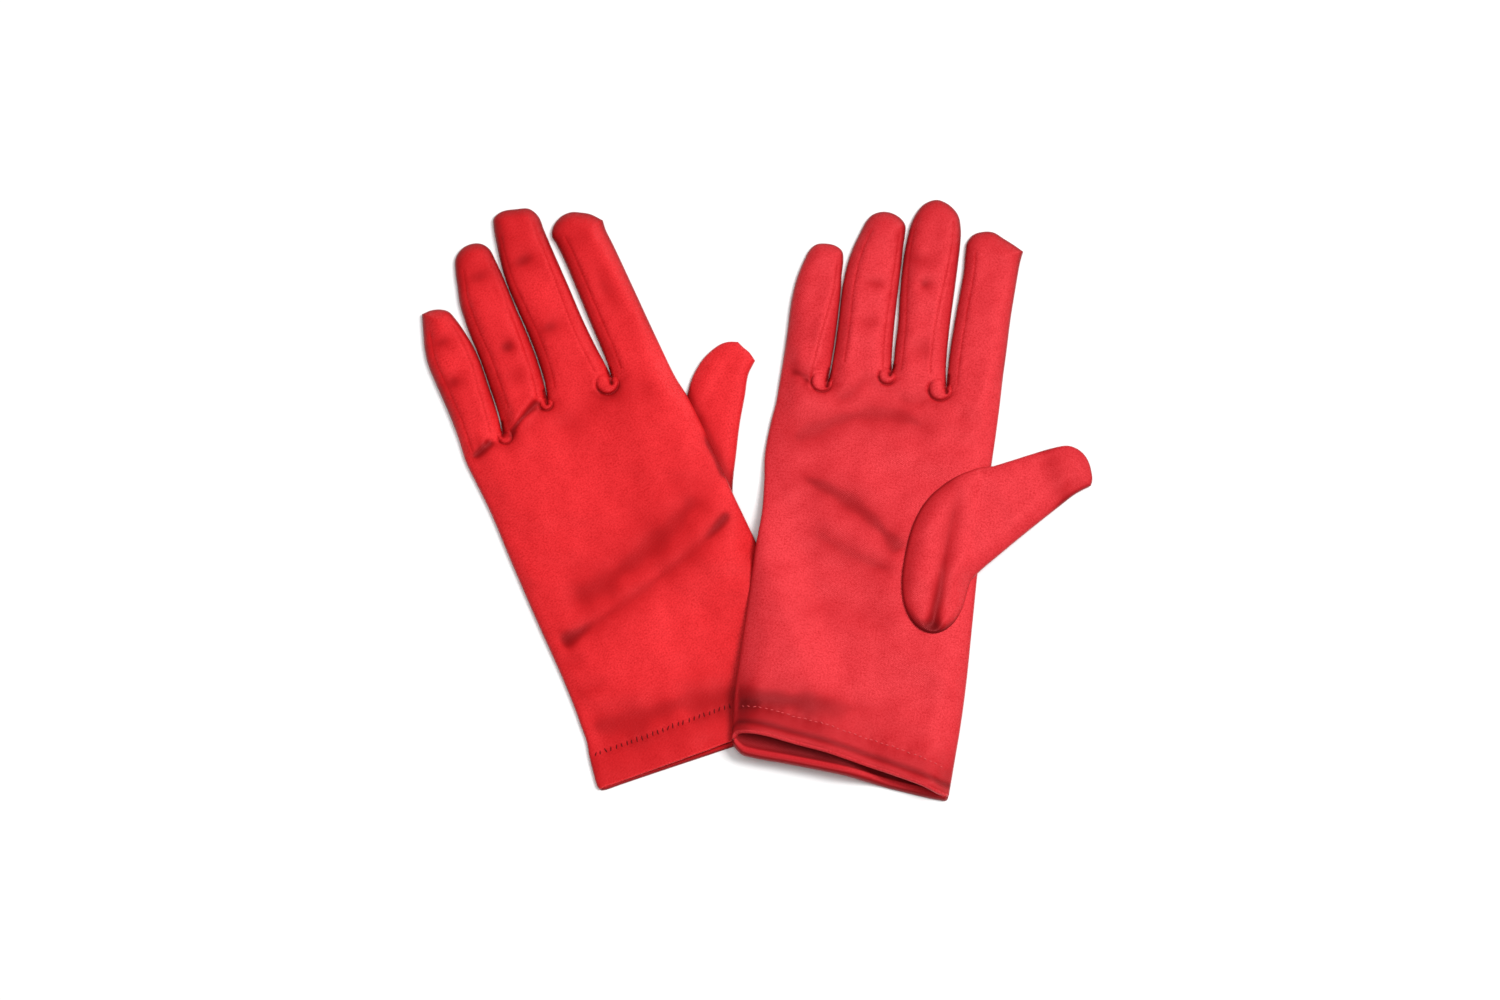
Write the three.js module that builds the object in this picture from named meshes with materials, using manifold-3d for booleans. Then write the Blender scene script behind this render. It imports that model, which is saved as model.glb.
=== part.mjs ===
// A pair of short satin opera gloves lying on a table: the left one on its palm, the right one on its back with the
// lower corner of its little-finger side over the left one's cuff. Millimetres, +Z up, the table at z = 0.
// Each glove is cut as a trank (palm and back in one piece, folded at the index side and closed at the little-finger
// side), forks between the fingers, a set-in thumb, and a turned-in hem. A finger folds up from a stub on the trank.
import * as THREE from "three";
import { mergeVertices } from "three/addons/utils/BufferGeometryUtils.js";
import Module from "manifold-3d";

const wasm = await Module();
wasm.setup();

// ---- Driving dimensions ----
const CROWN = 3; // how squarely a glove's top rounds off towards its sides
const FABRIC = 0.8; // one layer of satin with its lining
const GAP = 0.3; // left between pieces that are sewn or laid together
const SEAM_INSET = FABRIC + GAP + 0.7; // from the outside of an edge to the middle of the seam inside it
const HINGE_GAP = 0.6; // between a finger and the stub it folds from
const THREAD_R = 0.4; // radius of a row of stitching
const FORK_WIDTH = 3.8; // how far a fork shows on the front and the back of a finger
const FORK_STOP = 9; // from the end of a fork to the fingertip
const FORK_ROUND = 4; // how far a fork's rounded base reaches below the gap between two fingers
const HEM_DEPTH = 13; // the turned-in hem
const HEM_LAYER = 0.5; // its pressed layer
const HEM_SIDE = 5; // pressed solid this far in from each side
const STUB_START = 20; // how far a finger's stub reaches into the palm
const THUMB_HOLE_GAP = 0.4; // between the thumb's base and the hole that it is sewn in
const LEFT_HEIGHT = 9.4; // of the left glove at its thickest
const RIGHT_HEIGHT = 11; // of the right glove at its thickest
const FINGER_HEIGHT = 8.6; // at the root
const FINGER_FOLD = 4.2; // height of a finger's rolled side
const TIP_HEIGHT = 3.8; // at the fingertip

const MATERIAL = {
  satin: new THREE.MeshStandardMaterial({ color: 0xe3242b, roughness: 0.42, metalness: 0 }),
  lining: new THREE.MeshStandardMaterial({ color: 0xc81e26, roughness: 0.6, metalness: 0 }),
  thread: new THREE.MeshStandardMaterial({ color: 0xb01c24, roughness: 0.7, metalness: 0 }),
};

// Each glove in its own frame: x across with the thumb to the right, y from the cuff to the fingertips.
// Edges are listed from the cuff upward. A finger's root is the middle of its fold line, and its tip's shoulders say
// how long and how square each side's rounding is.
const GLOVES = [
  {
    name: "left",
    palmUp: false,
    at: [-18.1, -100.4],
    turn: 24.3,
    leftEdge: [[-43.8, 4.6], [-42.3, 18], [-40.3, 28], [-39.4, 62], [-39.2, 88], [-38.3, 114], [-39, 147]],
    rightEdge: [[43.6, -4.8], [46.4, 20], [49.6, 48], [50.4, 67], [49.9, 88], [49.9, 131], [48.6, 148]],
    rootLine: [[-39, 145.5], [-20.4, 146.5], [1.1, 152.2], [26.2, 148.5], [48.6, 147]],
    cuffHeight: LEFT_HEIGHT,
    palmHeight: LEFT_HEIGHT,
    palmFold: 4,
    fingers: [
      { name: "little", root: [-29.2, 154], tip: [-26.3, 204], width: 17.4, left: [19, 1.35], right: [10, 2] },
      { name: "ring", root: [-9.3, 159], tip: [-4.8, 222.3], width: 20.2, left: [20, 1.9], right: [9, 2.3] },
      { name: "middle", root: [13.9, 159.5], tip: [16.4, 229], width: 22.2, left: [14, 2], right: [8, 2.8] },
      { name: "index", root: [37.7, 156], tip: [38.2, 218], width: 21, left: [7, 1.9], right: [8.5, 1.15] },
    ],
    thumb: {
      hole: { centre: [28.5, 88], half: [11.5, 33.5], lean: 8 },
      root: [24.5, 86.5], tip: [77.3, 141], rootWidth: 44, edgeWidth: 30, tipWidth: 17.5,
      left: [11, 2], right: [8, 1.2], height: 3.8, fold: 2.8, base: 0, tipBase: 0, foldLine: 54,
    },
    // Rises over its own thumb, which lies between the palm and the table.
    lift: (x, y) => 4.6 * rise(x, -4, 12) * rise(y - Math.max(0, x - 30), 42, 60) * fall(y, 133, 160),
  },
  {
    name: "right",
    palmUp: true,
    at: [33, -104.7],
    turn: -7.1,
    leftEdge: [[-43, 6.6], [-44.2, 32], [-43.3, 60], [-42.6, 92], [-44.2, 116], [-42.4, 147]],
    rightEdge: [[42.4, -7], [43.7, 30], [43.3, 60], [43.3, 90], [43.6, 128], [44.1, 150]],
    rootLine: [[-42.4, 146.5], [-23, 147.7], [-0.3, 154.4], [21.6, 150.7], [44.1, 149.5]],
    cuffHeight: RIGHT_HEIGHT,
    palmHeight: RIGHT_HEIGHT - 1,
    palmFold: 4.2,
    fingers: [
      { name: "little", root: [-32.6, 154], tip: [-31.6, 203.2], width: 18.4, left: [19, 2], right: [11, 2] },
      { name: "ring", root: [-11.5, 161], tip: [-10.4, 219.4], width: 21.6, left: [26, 1.8], right: [12, 2.2] },
      { name: "middle", root: [10.7, 161], tip: [10.9, 226.6], width: 20.8, left: [17, 2.1], right: [11, 2.2] },
      { name: "index", root: [32.9, 157], tip: [34.2, 216], width: 21.6, left: [8, 2.3], right: [7, 1.1] },
    ],
    thumb: {
      hole: { centre: [27, 88], half: [11.5, 34], lean: 8 },
      root: [21.4, 89.8], tip: [81.5, 131.5], rootWidth: 46, edgeWidth: 34, tipWidth: 17.5,
      left: [11, 2], right: [5, 1.2], height: 7, fold: 3.8, base: 10.4, tipBase: 0.4, foldLine: 49,
    },
    // Rises over the corner of the other glove's cuff.
    lift: (x, y) => (LEFT_HEIGHT + 2 * GAP) * rise(0.895 * (-11.5 - x) + 0.447 * (16.5 - y), -21, -3),
  },
];

const PALM_STATIONS = [0.16, 0.24, 0.32, 0.4, 0.48, 0.56, 0.64, 0.72, 0.8, 0.88, 0.95, 1];
const FINGER_STATIONS = [0, 0.22, 0.45, 0.62, 0.75, 0.85, 0.92, 0.965, 0.99];
const THUMB_STATIONS = [0, 0.17, 0.34, 0.5, 0.64, 0.77, 0.87, 0.94, 0.975, 0.993];
const PALM_POINTS = { bottom: 9, side: 2, top: 11 };
const FINGER_POINTS = { bottom: 3, side: 2, top: 5 };
const THUMB_POINTS = { bottom: 5, side: 2, top: 6 };
const FAR = 400;

// ---- Small helpers ----
const lerp = (a, b, t) => a + (b - a) * t;
const rise = (v, from, to) => THREE.MathUtils.smoothstep(v, from, to);
const fall = (v, from, to) => 1 - THREE.MathUtils.smoothstep(v, from, to);
const radians = THREE.MathUtils.degToRad;

// The x of an edge at height y, by straight pieces between its points; a root line is read the other way round.
function along(points, value, from = 1, to = 0) {
  const last = points.length - 1;
  let i = 0;
  while (i < last - 1 && value > points[i + 1][from]) i += 1;
  const t = (value - points[i][from]) / (points[i + 1][from] - points[i][from]);
  return lerp(points[i][to], points[i + 1][to], THREE.MathUtils.clamp(t, i === 0 ? -1 : 0, 1));
}

// A BufferGeometry as a manifold-3d solid, and a solid as a named mesh.
function solidOf(geometry) {
  const bare = geometry.index ? geometry.toNonIndexed() : geometry.clone();
  bare.deleteAttribute("normal");
  bare.deleteAttribute("uv");
  const merged = mergeVertices(bare, 1e-4);
  const mesh = new wasm.Mesh({
    numProp: 3,
    vertProperties: merged.attributes.position.array,
    triVerts: new Uint32Array(merged.index.array),
  });
  return new wasm.Manifold(mesh);
}

function meshOf(name, solid, material) {
  const made = solid.getMesh();
  const geometry = new THREE.BufferGeometry();
  geometry.setAttribute("position", new THREE.BufferAttribute(made.vertProperties, 3));
  geometry.setIndex(new THREE.BufferAttribute(made.triVerts, 1));
  geometry.computeVertexNormals();
  const mesh = new THREE.Mesh(geometry, material);
  mesh.name = name;
  return mesh;
}

const join = (solids) => solids.reduce((all, one) => all.add(one));

// The triangles that close a ring: a strip from its left end to its right, between its underside and its top.
function capOf(ring, first, flip) {
  const triangles = [];
  let [low, high] = [0, ring.length - 1];
  while (high - low > 1) {
    const lowFirst = ring[low + 1].x <= ring[high - 1].x;
    const corners = lowFirst ? [low, low + 1, high] : [low, high - 1, high];
    if (flip) corners.reverse();
    triangles.push(...corners.map((corner) => first + corner));
    if (lowFirst) low += 1;
    else high -= 1;
  }
  return triangles;
}

// A solid through rings of equal length, closed at both ends.
function loft(rings) {
  const count = rings[0].length;
  const last = count * (rings.length - 1);
  const triangles = [...capOf(rings[0], 0, true), ...capOf(rings[rings.length - 1], last, false)];
  for (let first = 0; first < last; first += count) {
    for (let i = 0; i < count; i += 1) {
      const a = first + i;
      const b = first + ((i + 1) % count);
      triangles.push(a, b, b + count, a, b + count, a + count);
    }
  }
  const geometry = new THREE.BufferGeometry().setFromPoints(rings.flat());
  geometry.setIndex(triangles);
  const made = solidOf(geometry);
  if (made.volume() >= 0) return made;
  geometry.setIndex(triangles.reverse());
  return solidOf(geometry);
}

// A flattened cross-section between two folded sides: flat underneath, rolled at the sides and crowned on top.
// Returns [across, up] pairs, anticlockwise from the lower left. inset shrinks it all round.
function section(left, right, height, fold, counts, inset = 0) {
  const from = left + inset;
  const to = right - inset;
  const low = inset;
  const high = height - inset;
  const roll = THREE.MathUtils.clamp(fold / 2 - inset, 0.2, 0.45 * (to - from));
  const flat = (to - from) / 2 - roll;
  const middle = (from + to) / 2;
  const points = [];
  for (let i = 0; i < counts.bottom; i += 1) {
    points.push([lerp(from + roll, to - roll, i / (counts.bottom - 1)), low]);
  }
  for (let i = 1; i <= counts.side; i += 1) {
    const angle = Math.PI * (i / (counts.side + 1) - 0.5);
    points.push([to - roll + roll * Math.cos(angle), low + roll + roll * Math.sin(angle)]);
  }
  for (let i = 0; i < counts.top; i += 1) {
    const across = lerp(1, -1, i / (counts.top - 1));
    const crown = (high - low - 2 * roll) * (1 - Math.abs(across) ** CROWN);
    points.push([middle + flat * across, low + 2 * roll + crown]);
  }
  for (let i = counts.side; i >= 1; i -= 1) {
    const angle = Math.PI * (i / (counts.side + 1) - 0.5);
    points.push([from + roll - roll * Math.cos(angle), low + roll + roll * Math.sin(angle)]);
  }
  return points;
}

// An upright prism over a flat outline.
function prism(outline, low, high) {
  const shape = new THREE.Shape(outline.map(([x, y]) => new THREE.Vector2(x, y)));
  const geometry = new THREE.ExtrudeGeometry(shape, { depth: high - low, bevelEnabled: false });
  return solidOf(geometry.translate(0, 0, low));
}

// A thread along a path of points, open at both ends.
function thread(points, steps) {
  const sides = new THREE.Shape();
  sides.absarc(0, 0, THREAD_R, 0, 2 * Math.PI);
  const path = new THREE.CatmullRomCurve3(points, false, "centripetal");
  const options = { steps, curveSegments: 3, extrudePath: path, bevelEnabled: false };
  return solidOf(new THREE.ExtrudeGeometry(sides, options));
}

// A thread that runs up a glove, bending at each of its points.
function straightThread(points) {
  const turns = [-150, -90, -30, 30, 90, 150].map(radians);
  return loft(points.map((point) => turns.map((turn) => new THREE.Vector3(
    point.x + THREAD_R * Math.cos(turn), point.y, point.z + THREAD_R * Math.sin(turn)))));
}

// ---- The palm and back of a hand ----
function handHeight(glove, t) {
  if (t < 0.35) return lerp(glove.cuffHeight, glove.palmHeight, rise(t, 0, 0.35));
  return lerp(glove.palmHeight, FINGER_HEIGHT, rise(t, 0.5, 1));
}

function palmRing(glove, t, counts, inset) {
  const cuffLeft = glove.leftEdge[0];
  const cuffRight = glove.rightEdge[0];
  const lineY = (x) => {
    const cuff = lerp(cuffLeft[1], cuffRight[1], (x - cuffLeft[0]) / (cuffRight[0] - cuffLeft[0]));
    return lerp(cuff, along(glove.rootLine, x, 0, 1), t);
  };
  const left = along(glove.leftEdge, lineY(cuffLeft[0]));
  const right = along(glove.rightEdge, lineY(cuffRight[0]));
  return section(left, right, handHeight(glove, t), glove.palmFold, counts, inset).map(([x, z]) => {
    const y = lineY(x);
    return new THREE.Vector3(x, y, z + glove.lift(x, y));
  });
}

// Where the hem's stitching lies, as a share of the palm's length.
function stitchShare(glove) {
  return hemShare(glove) + (GAP + THREAD_R + 0.5) / palmLength(glove);
}

// The palm's cross-sections run from the cuff to the fingers; one of them carries the hem's stitching.
function palmStations(glove) {
  const hem = stitchShare(glove);
  return [0, 0.6 * hem, hem, ...PALM_STATIONS.filter((t) => t > hem + 0.02)];
}

// The hand as a solid, shrunk by inset. It runs from one share of its length to another.
function palmSolid(glove, inset, from = 0, to = 1) {
  const inside = palmStations(glove).filter((t) => t > from && t < to);
  return loft([from, ...inside, to].map((t) => palmRing(glove, t, PALM_POINTS, inset)));
}

const palmLength = (glove) => glove.rootLine[2][1];

// ---- Fingers ----
// A finger's own frame: s along it from its fold line, a across it to the right.
function fingerFrame(finger) {
  const [rx, ry] = finger.root;
  const [tx, ty] = finger.tip;
  const length = Math.hypot(tx - rx, ty - ry);
  const forward = [(tx - rx) / length, (ty - ry) / length];
  const place = (a, s) => [rx + forward[0] * s + forward[1] * a, ry + forward[1] * s - forward[0] * a];
  return { length, forward, place };
}

// The half widths to the left and right at s: constant, then rounded off by the tip's two shoulders.
function halfWidths(finger, length, s) {
  return [finger.left, finger.right].map(([shoulder, square]) => {
    const t = THREE.MathUtils.clamp((s - (length - shoulder)) / shoulder, 0, 1);
    return (finger.width / 2) * (1 - t ** square) ** (1 / square);
  });
}

// A finger thins towards its tip, and its stub sinks into the palm.
function fingerHeight(length, s) {
  if (s < 0) return lerp(FINGER_HEIGHT, FINGER_FOLD, (s / STUB_START) ** 2);
  return lerp(FINGER_HEIGHT, TIP_HEIGHT, (s / length) ** 2.6);
}

function fingerRing(glove, finger, frame, s, inset) {
  const length = frame.length - inset;
  const [left, right] = halfWidths(finger, length, s);
  const room = 1.2 * inset + 0.4;
  const across = section(-Math.max(left, room), Math.max(right, room), fingerHeight(length, s),
    Math.min(FINGER_FOLD, fingerHeight(length, s)), FINGER_POINTS, inset);
  return across.map(([a, z]) => {
    const [x, y] = frame.place(a, s);
    return new THREE.Vector3(x, y, z + glove.lift(x, y));
  });
}

function fingerSolid(glove, finger, frame, inset, from) {
  const length = frame.length - inset;
  const stations = FINGER_STATIONS.filter((t) => t * length > from).map((t) => t * length);
  return loft([from, ...stations].map((s) => fingerRing(glove, finger, frame, s, inset)));
}

function stubSolid(glove, finger, frame, inset, to) {
  const stations = [-STUB_START + inset, -0.7 * STUB_START, -0.4 * STUB_START, to];
  return loft(stations.map((s) => fingerRing(glove, finger, frame, s, inset)));
}

// The region of a finger's side that a fork covers, from below the palm's edge to near the tip. spare widens it.
function forkOutline(finger, frame, side, spare) {
  const seam = side * (finger.width / 2 - FORK_WIDTH - spare);
  const end = frame.length - FORK_STOP + spare;
  const narrow = side * (finger.width / 2 - 2 * FORK_WIDTH / 3 - spare);
  return [
    [seam, -HINGE_GAP], [seam, end - 14], [narrow, end],
    [side * finger.width, end], [side * finger.width, -HINGE_GAP],
  ].map(([a, s]) => frame.place(a, s));
}

const HAS_FORK = { little: [1], ring: [-1, 1], middle: [-1, 1], index: [-1] };

function buildFinger(glove, finger) {
  const frame = fingerFrame(finger);
  const shell = fingerSolid(glove, finger, frame, 0, HINGE_GAP / 2)
    .subtract(fingerSolid(glove, finger, frame, FABRIC, -1));
  const meshes = [];
  let sleeve = shell;
  for (const side of HAS_FORK[finger.name]) {
    sleeve = sleeve.subtract(prism(forkOutline(finger, frame, side, GAP / 2), -FAR, FAR));
    const strip = shell.intersect(prism(forkOutline(finger, frame, side, -GAP / 2), -FAR, FAR));
    const facing = neighbour(finger.name, side);
    meshes.push(meshOf(`${glove.name}_${finger.name}_fork_to_${facing}`, strip, MATERIAL.satin));
  }
  meshes.unshift(meshOf(`${glove.name}_${finger.name}_finger`, sleeve, MATERIAL.satin));
  if (finger.name === "little") {
    const seam = littleSideSeam(glove, finger, frame);
    meshes.push(meshOf(`${glove.name}_little_side_seam`, seam, MATERIAL.thread));
  }
  return meshes;
}

function littleSideSeam(glove, finger, frame) {
  const path = [0.5, 0.22 * frame.length, 0.45 * frame.length, 0.6 * frame.length].map((s) => {
    const [x, y] = frame.place(SEAM_INSET - finger.width / 2, s);
    return new THREE.Vector3(x, y, FINGER_FOLD / 2 + glove.lift(x, y));
  });
  return straightThread(path);
}

const FINGER_ORDER = ["little", "ring", "middle", "index"];
const neighbour = (name, side) => FINGER_ORDER[FINGER_ORDER.indexOf(name) + side];

// ---- Thumb ----
function holeOutline(hole, spare, count = 28) {
  const lean = radians(-hole.lean);
  return Array.from({ length: count }, (_, i) => {
    const angle = (2 * Math.PI * i) / count;
    const x = (hole.half[0] + spare) * Math.cos(angle);
    const y = (hole.half[1] + spare) * Math.sin(angle);
    return [
      hole.centre[0] + x * Math.cos(lean) - y * Math.sin(lean),
      hole.centre[1] + x * Math.sin(lean) + y * Math.cos(lean),
    ];
  });
}

function thumbSolid(glove, inset) {
  const thumb = glove.thumb;
  const frame = fingerFrame(thumb);
  const length = frame.length - inset;
  const halfEdge = 0.36; // share of the thumb's length where it crosses the side of the palm
  return loft(THUMB_STATIONS.map((t) => {
    const s = t * length;
    const width = t < halfEdge
      ? lerp(thumb.rootWidth, thumb.edgeWidth, t / halfEdge)
      : lerp(thumb.edgeWidth, thumb.tipWidth, (t - halfEdge) / (1 - halfEdge));
    const [left, right] = halfWidths({ ...thumb, width }, length, s);
    const height = lerp(thumb.height, TIP_HEIGHT, Math.max(0, (t - 0.5) / 0.5) ** 2);
    const base = lerp(thumb.base, thumb.tipBase, rise(t, 0.45, 0.9));
    const room = 1.2 * inset + 0.4;
    const across = section(-Math.max(left, room), Math.max(right, room), height, Math.min(thumb.fold, height),
      THUMB_POINTS, inset);
    return across.map(([a, z]) => {
      const [x, y] = frame.place(a, s);
      return new THREE.Vector3(x, y, z + base);
    });
  }));
}

// Where the thumb's tube may lie: over the hole, and outward from the hole's long axis.
function thumbRegion({ centre, lean }, outline) {
  const [x, y] = centre;
  const slide = FAR * Math.tan(radians(lean));
  const outward = [[x - slide, y - FAR], [x + FAR, y - FAR], [x + FAR, y + FAR], [x + slide, y + FAR]];
  return prism(outline, -FAR, FAR).add(prism(outward, -FAR, FAR));
}

// The thumb as one hollow piece: a tube lying on the palm, with a collar that goes through the palm's hole.
function thumbShell(glove) {
  const { thumb, palmUp } = glove;
  const level = thumbSeat(glove);
  const [low, high] = palmUp ? [level, thumb.base + thumb.height] : [0, level];
  const [outside, inside] = [0, FABRIC].map((inset) => {
    const outline = holeOutline(thumb.hole, -THUMB_HOLE_GAP - inset);
    const floor = palmUp ? low - 3 * inset : low + inset;
    const collar = prism(outline, floor, palmUp ? high - inset : high + 3 * inset);
    return thumbSolid(glove, inset).intersect(thumbRegion(thumb.hole, outline)).add(collar);
  });
  return outside.subtract(inside);
}

// The height at which the collar ends, inside the palm's layer.
function thumbSeat(glove) {
  const [x, y] = glove.thumb.hole.centre;
  return glove.palmUp ? 5.6 : glove.lift(x, y) + FABRIC + GAP;
}

function buildThumb(glove) {
  const shell = thumbShell(glove);
  const line = glove.thumb.foldLine;
  const half = (side) => prism([[line, -FAR], [line + side * FAR, -FAR], [line + side * FAR, FAR], [line, FAR]]
    .map(([x, y]) => [x + side * HINGE_GAP / 2, y]), -FAR, FAR);
  return {
    base: meshOf(`${glove.name}_thumb_base`, shell.intersect(half(-1)), MATERIAL.satin),
    free: meshOf(`${glove.name}_thumb`, shell.intersect(half(1)), MATERIAL.satin),
  };
}

// ---- The hand: trank, forks' bases, hem, stitching ----
// The fork's rounded base round the gap between two fingers, in the glove's frame. spare widens it.
function forkBaseOutline(first, second, gap, spare) {
  const inner = (finger) => finger.width / 2 - FORK_WIDTH - spare;
  const edge = (finger, side, s) => fingerFrame(finger).place(side * inner(finger), s);
  const left = [edge(first, 1, 8), edge(first, 1, -3)];
  const right = [edge(second, -1, -3), edge(second, -1, 8)];
  const radius = FORK_WIDTH + spare;
  const round = [-0.75, -0.5, -0.25].map((turn) => [
    gap[0] + radius * Math.cos(turn * Math.PI),
    gap[1] - FORK_ROUND + radius + (radius + spare) * Math.sin(turn * Math.PI),
  ]);
  return [...left, ...round, ...right];
}

function buildHand(glove) {
  const frames = glove.fingers.map(fingerFrame);
  const outer = join([palmSolid(glove, 0),
    ...glove.fingers.map((finger, i) => stubSolid(glove, finger, frames[i], 0, -HINGE_GAP / 2))]);
  const endShare = 1 - FABRIC / palmLength(glove);
  const inner = join([palmSolid(glove, FABRIC, -0.03, endShare),
    ...glove.fingers.map((finger, i) => stubSolid(glove, finger, frames[i], FABRIC, 2))]);
  const shell = outer.subtract(inner);

  const middleZ = glove.palmHeight / 2 + (glove.palmUp ? 0 : glove.lift(...glove.thumb.hole.centre));
  const [floor, top] = glove.palmUp ? [middleZ, FAR] : [-FAR, middleZ];
  const hole = prism(holeOutline(glove.thumb.hole, 0), floor, top);
  let trank = shell.subtract(hole);
  const meshes = [];
  for (let i = 0; i < 3; i += 1) {
    const [first, second] = [glove.fingers[i], glove.fingers[i + 1]];
    const gap = glove.rootLine[i + 1];
    trank = trank.subtract(prism(forkBaseOutline(first, second, gap, GAP / 2), -FAR, FAR));
    const base = shell.intersect(prism(forkBaseOutline(first, second, gap, -GAP / 2), -FAR, FAR));
    meshes.push(meshOf(`${glove.name}_fork_base_${first.name}_${second.name}`, base, MATERIAL.satin));
  }
  meshes.unshift(meshOf(`${glove.name}_trank`, trank, MATERIAL.satin));
  meshes.push(meshOf(`${glove.name}_hem_facing`, hemFacing(glove), MATERIAL.lining));
  meshes.push(meshOf(`${glove.name}_hem_stitching`, hemStitching(glove), MATERIAL.thread));
  meshes.push(meshOf(`${glove.name}_side_seam`, sideSeam(glove), MATERIAL.thread));
  meshes.push(meshOf(`${glove.name}_thumb_seam`, thumbSeam(glove), MATERIAL.thread));
  return meshes;
}

const hemShare = (glove) => HEM_DEPTH / palmLength(glove);

function hemFacing(glove) {
  const outside = FABRIC + 1.5 * GAP;
  const shifted = (edge, by) => edge.map(([x, y]) => [x + by, y]);
  const narrow = {
    ...glove,
    leftEdge: shifted(glove.leftEdge, HEM_SIDE),
    rightEdge: shifted(glove.rightEdge, -HEM_SIDE),
  };
  return palmSolid(glove, outside, 0.006, hemShare(glove))
    .subtract(palmSolid(narrow, outside + HEM_LAYER, -0.03, hemShare(glove) + 0.02));
}

function ringPath(glove, share, inset) {
  const ring = palmRing(glove, share, PALM_POINTS, inset);
  const start = PALM_POINTS.bottom + PALM_POINTS.side + PALM_POINTS.top + 1;
  return [...ring.slice(start), ...ring.slice(0, start)];
}

function hemStitching(glove) {
  return thread(ringPath(glove, stitchShare(glove), FABRIC + 1.5 * GAP + THREAD_R), 44);
}

// The seam allowance that runs inside the little-finger edge of the hand.
function sideSeam(glove) {
  const stations = palmStations(glove).filter((t) => t > hemShare(glove) + 0.02 && t < 0.9);
  return straightThread(stations.map((t) => {
    const ring = palmRing(glove, t, PALM_POINTS, 0);
    const edge = ring[ring.length - 1].clone().lerp(ring[ring.length - 2], 0.5);
    const x = edge.x + SEAM_INSET;
    return new THREE.Vector3(x, edge.y, glove.palmFold / 2 + glove.lift(x, edge.y));
  }));
}

function thumbSeam(glove) {
  const outline = holeOutline(glove.thumb.hole, THREAD_R + GAP, 20);
  const clearance = FABRIC + GAP + THREAD_R + 0.3;
  const path = outline.slice(0, 19).map(([x, y]) => {
    const layer = glove.palmUp ? palmTop(glove, x, y) - clearance : glove.lift(x, y) + clearance;
    return new THREE.Vector3(x, y, layer);
  });
  return thread(path, 38);
}

// Height of the upper layer's outside at a point of the palm.
function palmTop(glove, x, y) {
  const left = along(glove.leftEdge, y);
  const right = along(glove.rightEdge, y);
  const half = (right - left) / 2 - glove.palmFold / 2;
  const across = Math.min(1, Math.abs(x - (left + right) / 2) / half);
  const height = handHeight(glove, y / palmLength(glove));
  return glove.palmFold + (height - glove.palmFold) * (1 - across ** CROWN) + glove.lift(x, y);
}

// ---- The pair ----
const pair = new THREE.Group();
for (const glove of GLOVES) {
  const group = new THREE.Group();
  const thumb = buildThumb(glove);
  group.add(...buildHand(glove), thumb.base, thumb.free);
  for (const finger of glove.fingers) group.add(...buildFinger(glove, finger));
  group.position.set(...glove.at, 0);
  group.rotation.z = radians(glove.turn);
  group.userData.hinges = hingesOf(glove);
  pair.add(group);
}

// Fold lines in the glove's frame: a point at the top of the fabric, and the axis that folds the piece upward.
function hingesOf(glove) {
  const hinges = glove.fingers.map((finger) => {
    const [x, y] = finger.root;
    const [fx, fy] = fingerFrame(finger).forward;
    return { name: finger.name, point: [x, y, FINGER_HEIGHT + GAP + glove.lift(x, y)], axis: [fy, -fx, 0] };
  });
  const { thumb } = glove;
  const thumbFrame = fingerFrame(thumb);
  const [tx, ty] = thumbFrame.place(0, (thumb.foldLine - thumb.root[0]) / thumbFrame.forward[0]);
  hinges.push({ name: "thumb", point: [tx, ty, thumb.base + thumb.height + GAP], axis: [0, -1, 0] });
  return hinges;
}

// The frame's origin is the middle of the pair's box, on the table.
pair.updateMatrixWorld(true);
const box = new THREE.Box3().setFromObject(pair, true);
const middle = box.getCenter(new THREE.Vector3());
for (const group of pair.children) group.position.add(new THREE.Vector3(-middle.x, -middle.y, -box.min.z));

export default pair;
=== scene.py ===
"""A pair of red satin gloves on a pale table: the left one back up, the right one palm up over its cuff.

Each glove is worked out flat in its own frame in millimetres (x across with the thumb to the right, y from
the cuff to the fingertips), as an upper and a lower sheet that meet along its outline. Then it is set on the
table in metres.
"""
import math

import bpy
import numpy as np
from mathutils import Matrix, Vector, geometry


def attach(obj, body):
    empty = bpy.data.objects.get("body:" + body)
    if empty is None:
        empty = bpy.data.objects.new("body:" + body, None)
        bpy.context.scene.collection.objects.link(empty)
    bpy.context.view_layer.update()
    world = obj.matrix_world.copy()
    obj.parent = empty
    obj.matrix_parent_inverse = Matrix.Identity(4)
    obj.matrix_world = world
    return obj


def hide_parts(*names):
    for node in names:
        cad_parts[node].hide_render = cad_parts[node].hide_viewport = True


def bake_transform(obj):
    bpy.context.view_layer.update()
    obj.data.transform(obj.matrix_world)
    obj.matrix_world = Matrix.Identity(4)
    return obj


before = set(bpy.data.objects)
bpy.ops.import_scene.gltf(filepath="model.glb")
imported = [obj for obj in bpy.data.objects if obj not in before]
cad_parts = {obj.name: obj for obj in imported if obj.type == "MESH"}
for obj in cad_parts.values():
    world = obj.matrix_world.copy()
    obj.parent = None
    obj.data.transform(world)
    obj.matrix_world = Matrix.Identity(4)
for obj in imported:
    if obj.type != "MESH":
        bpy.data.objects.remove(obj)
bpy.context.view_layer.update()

MM = 0.001


# ---- small helpers
def smooth(v, a, b):
    t = np.clip((np.asarray(v, float) - a) / (b - a), 0, 1)
    return t * t * (3 - 2 * t)


def arr(points):
    return np.array(points, float)


def bell(u, width):
    return np.exp(-((u / width) ** 2))


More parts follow.
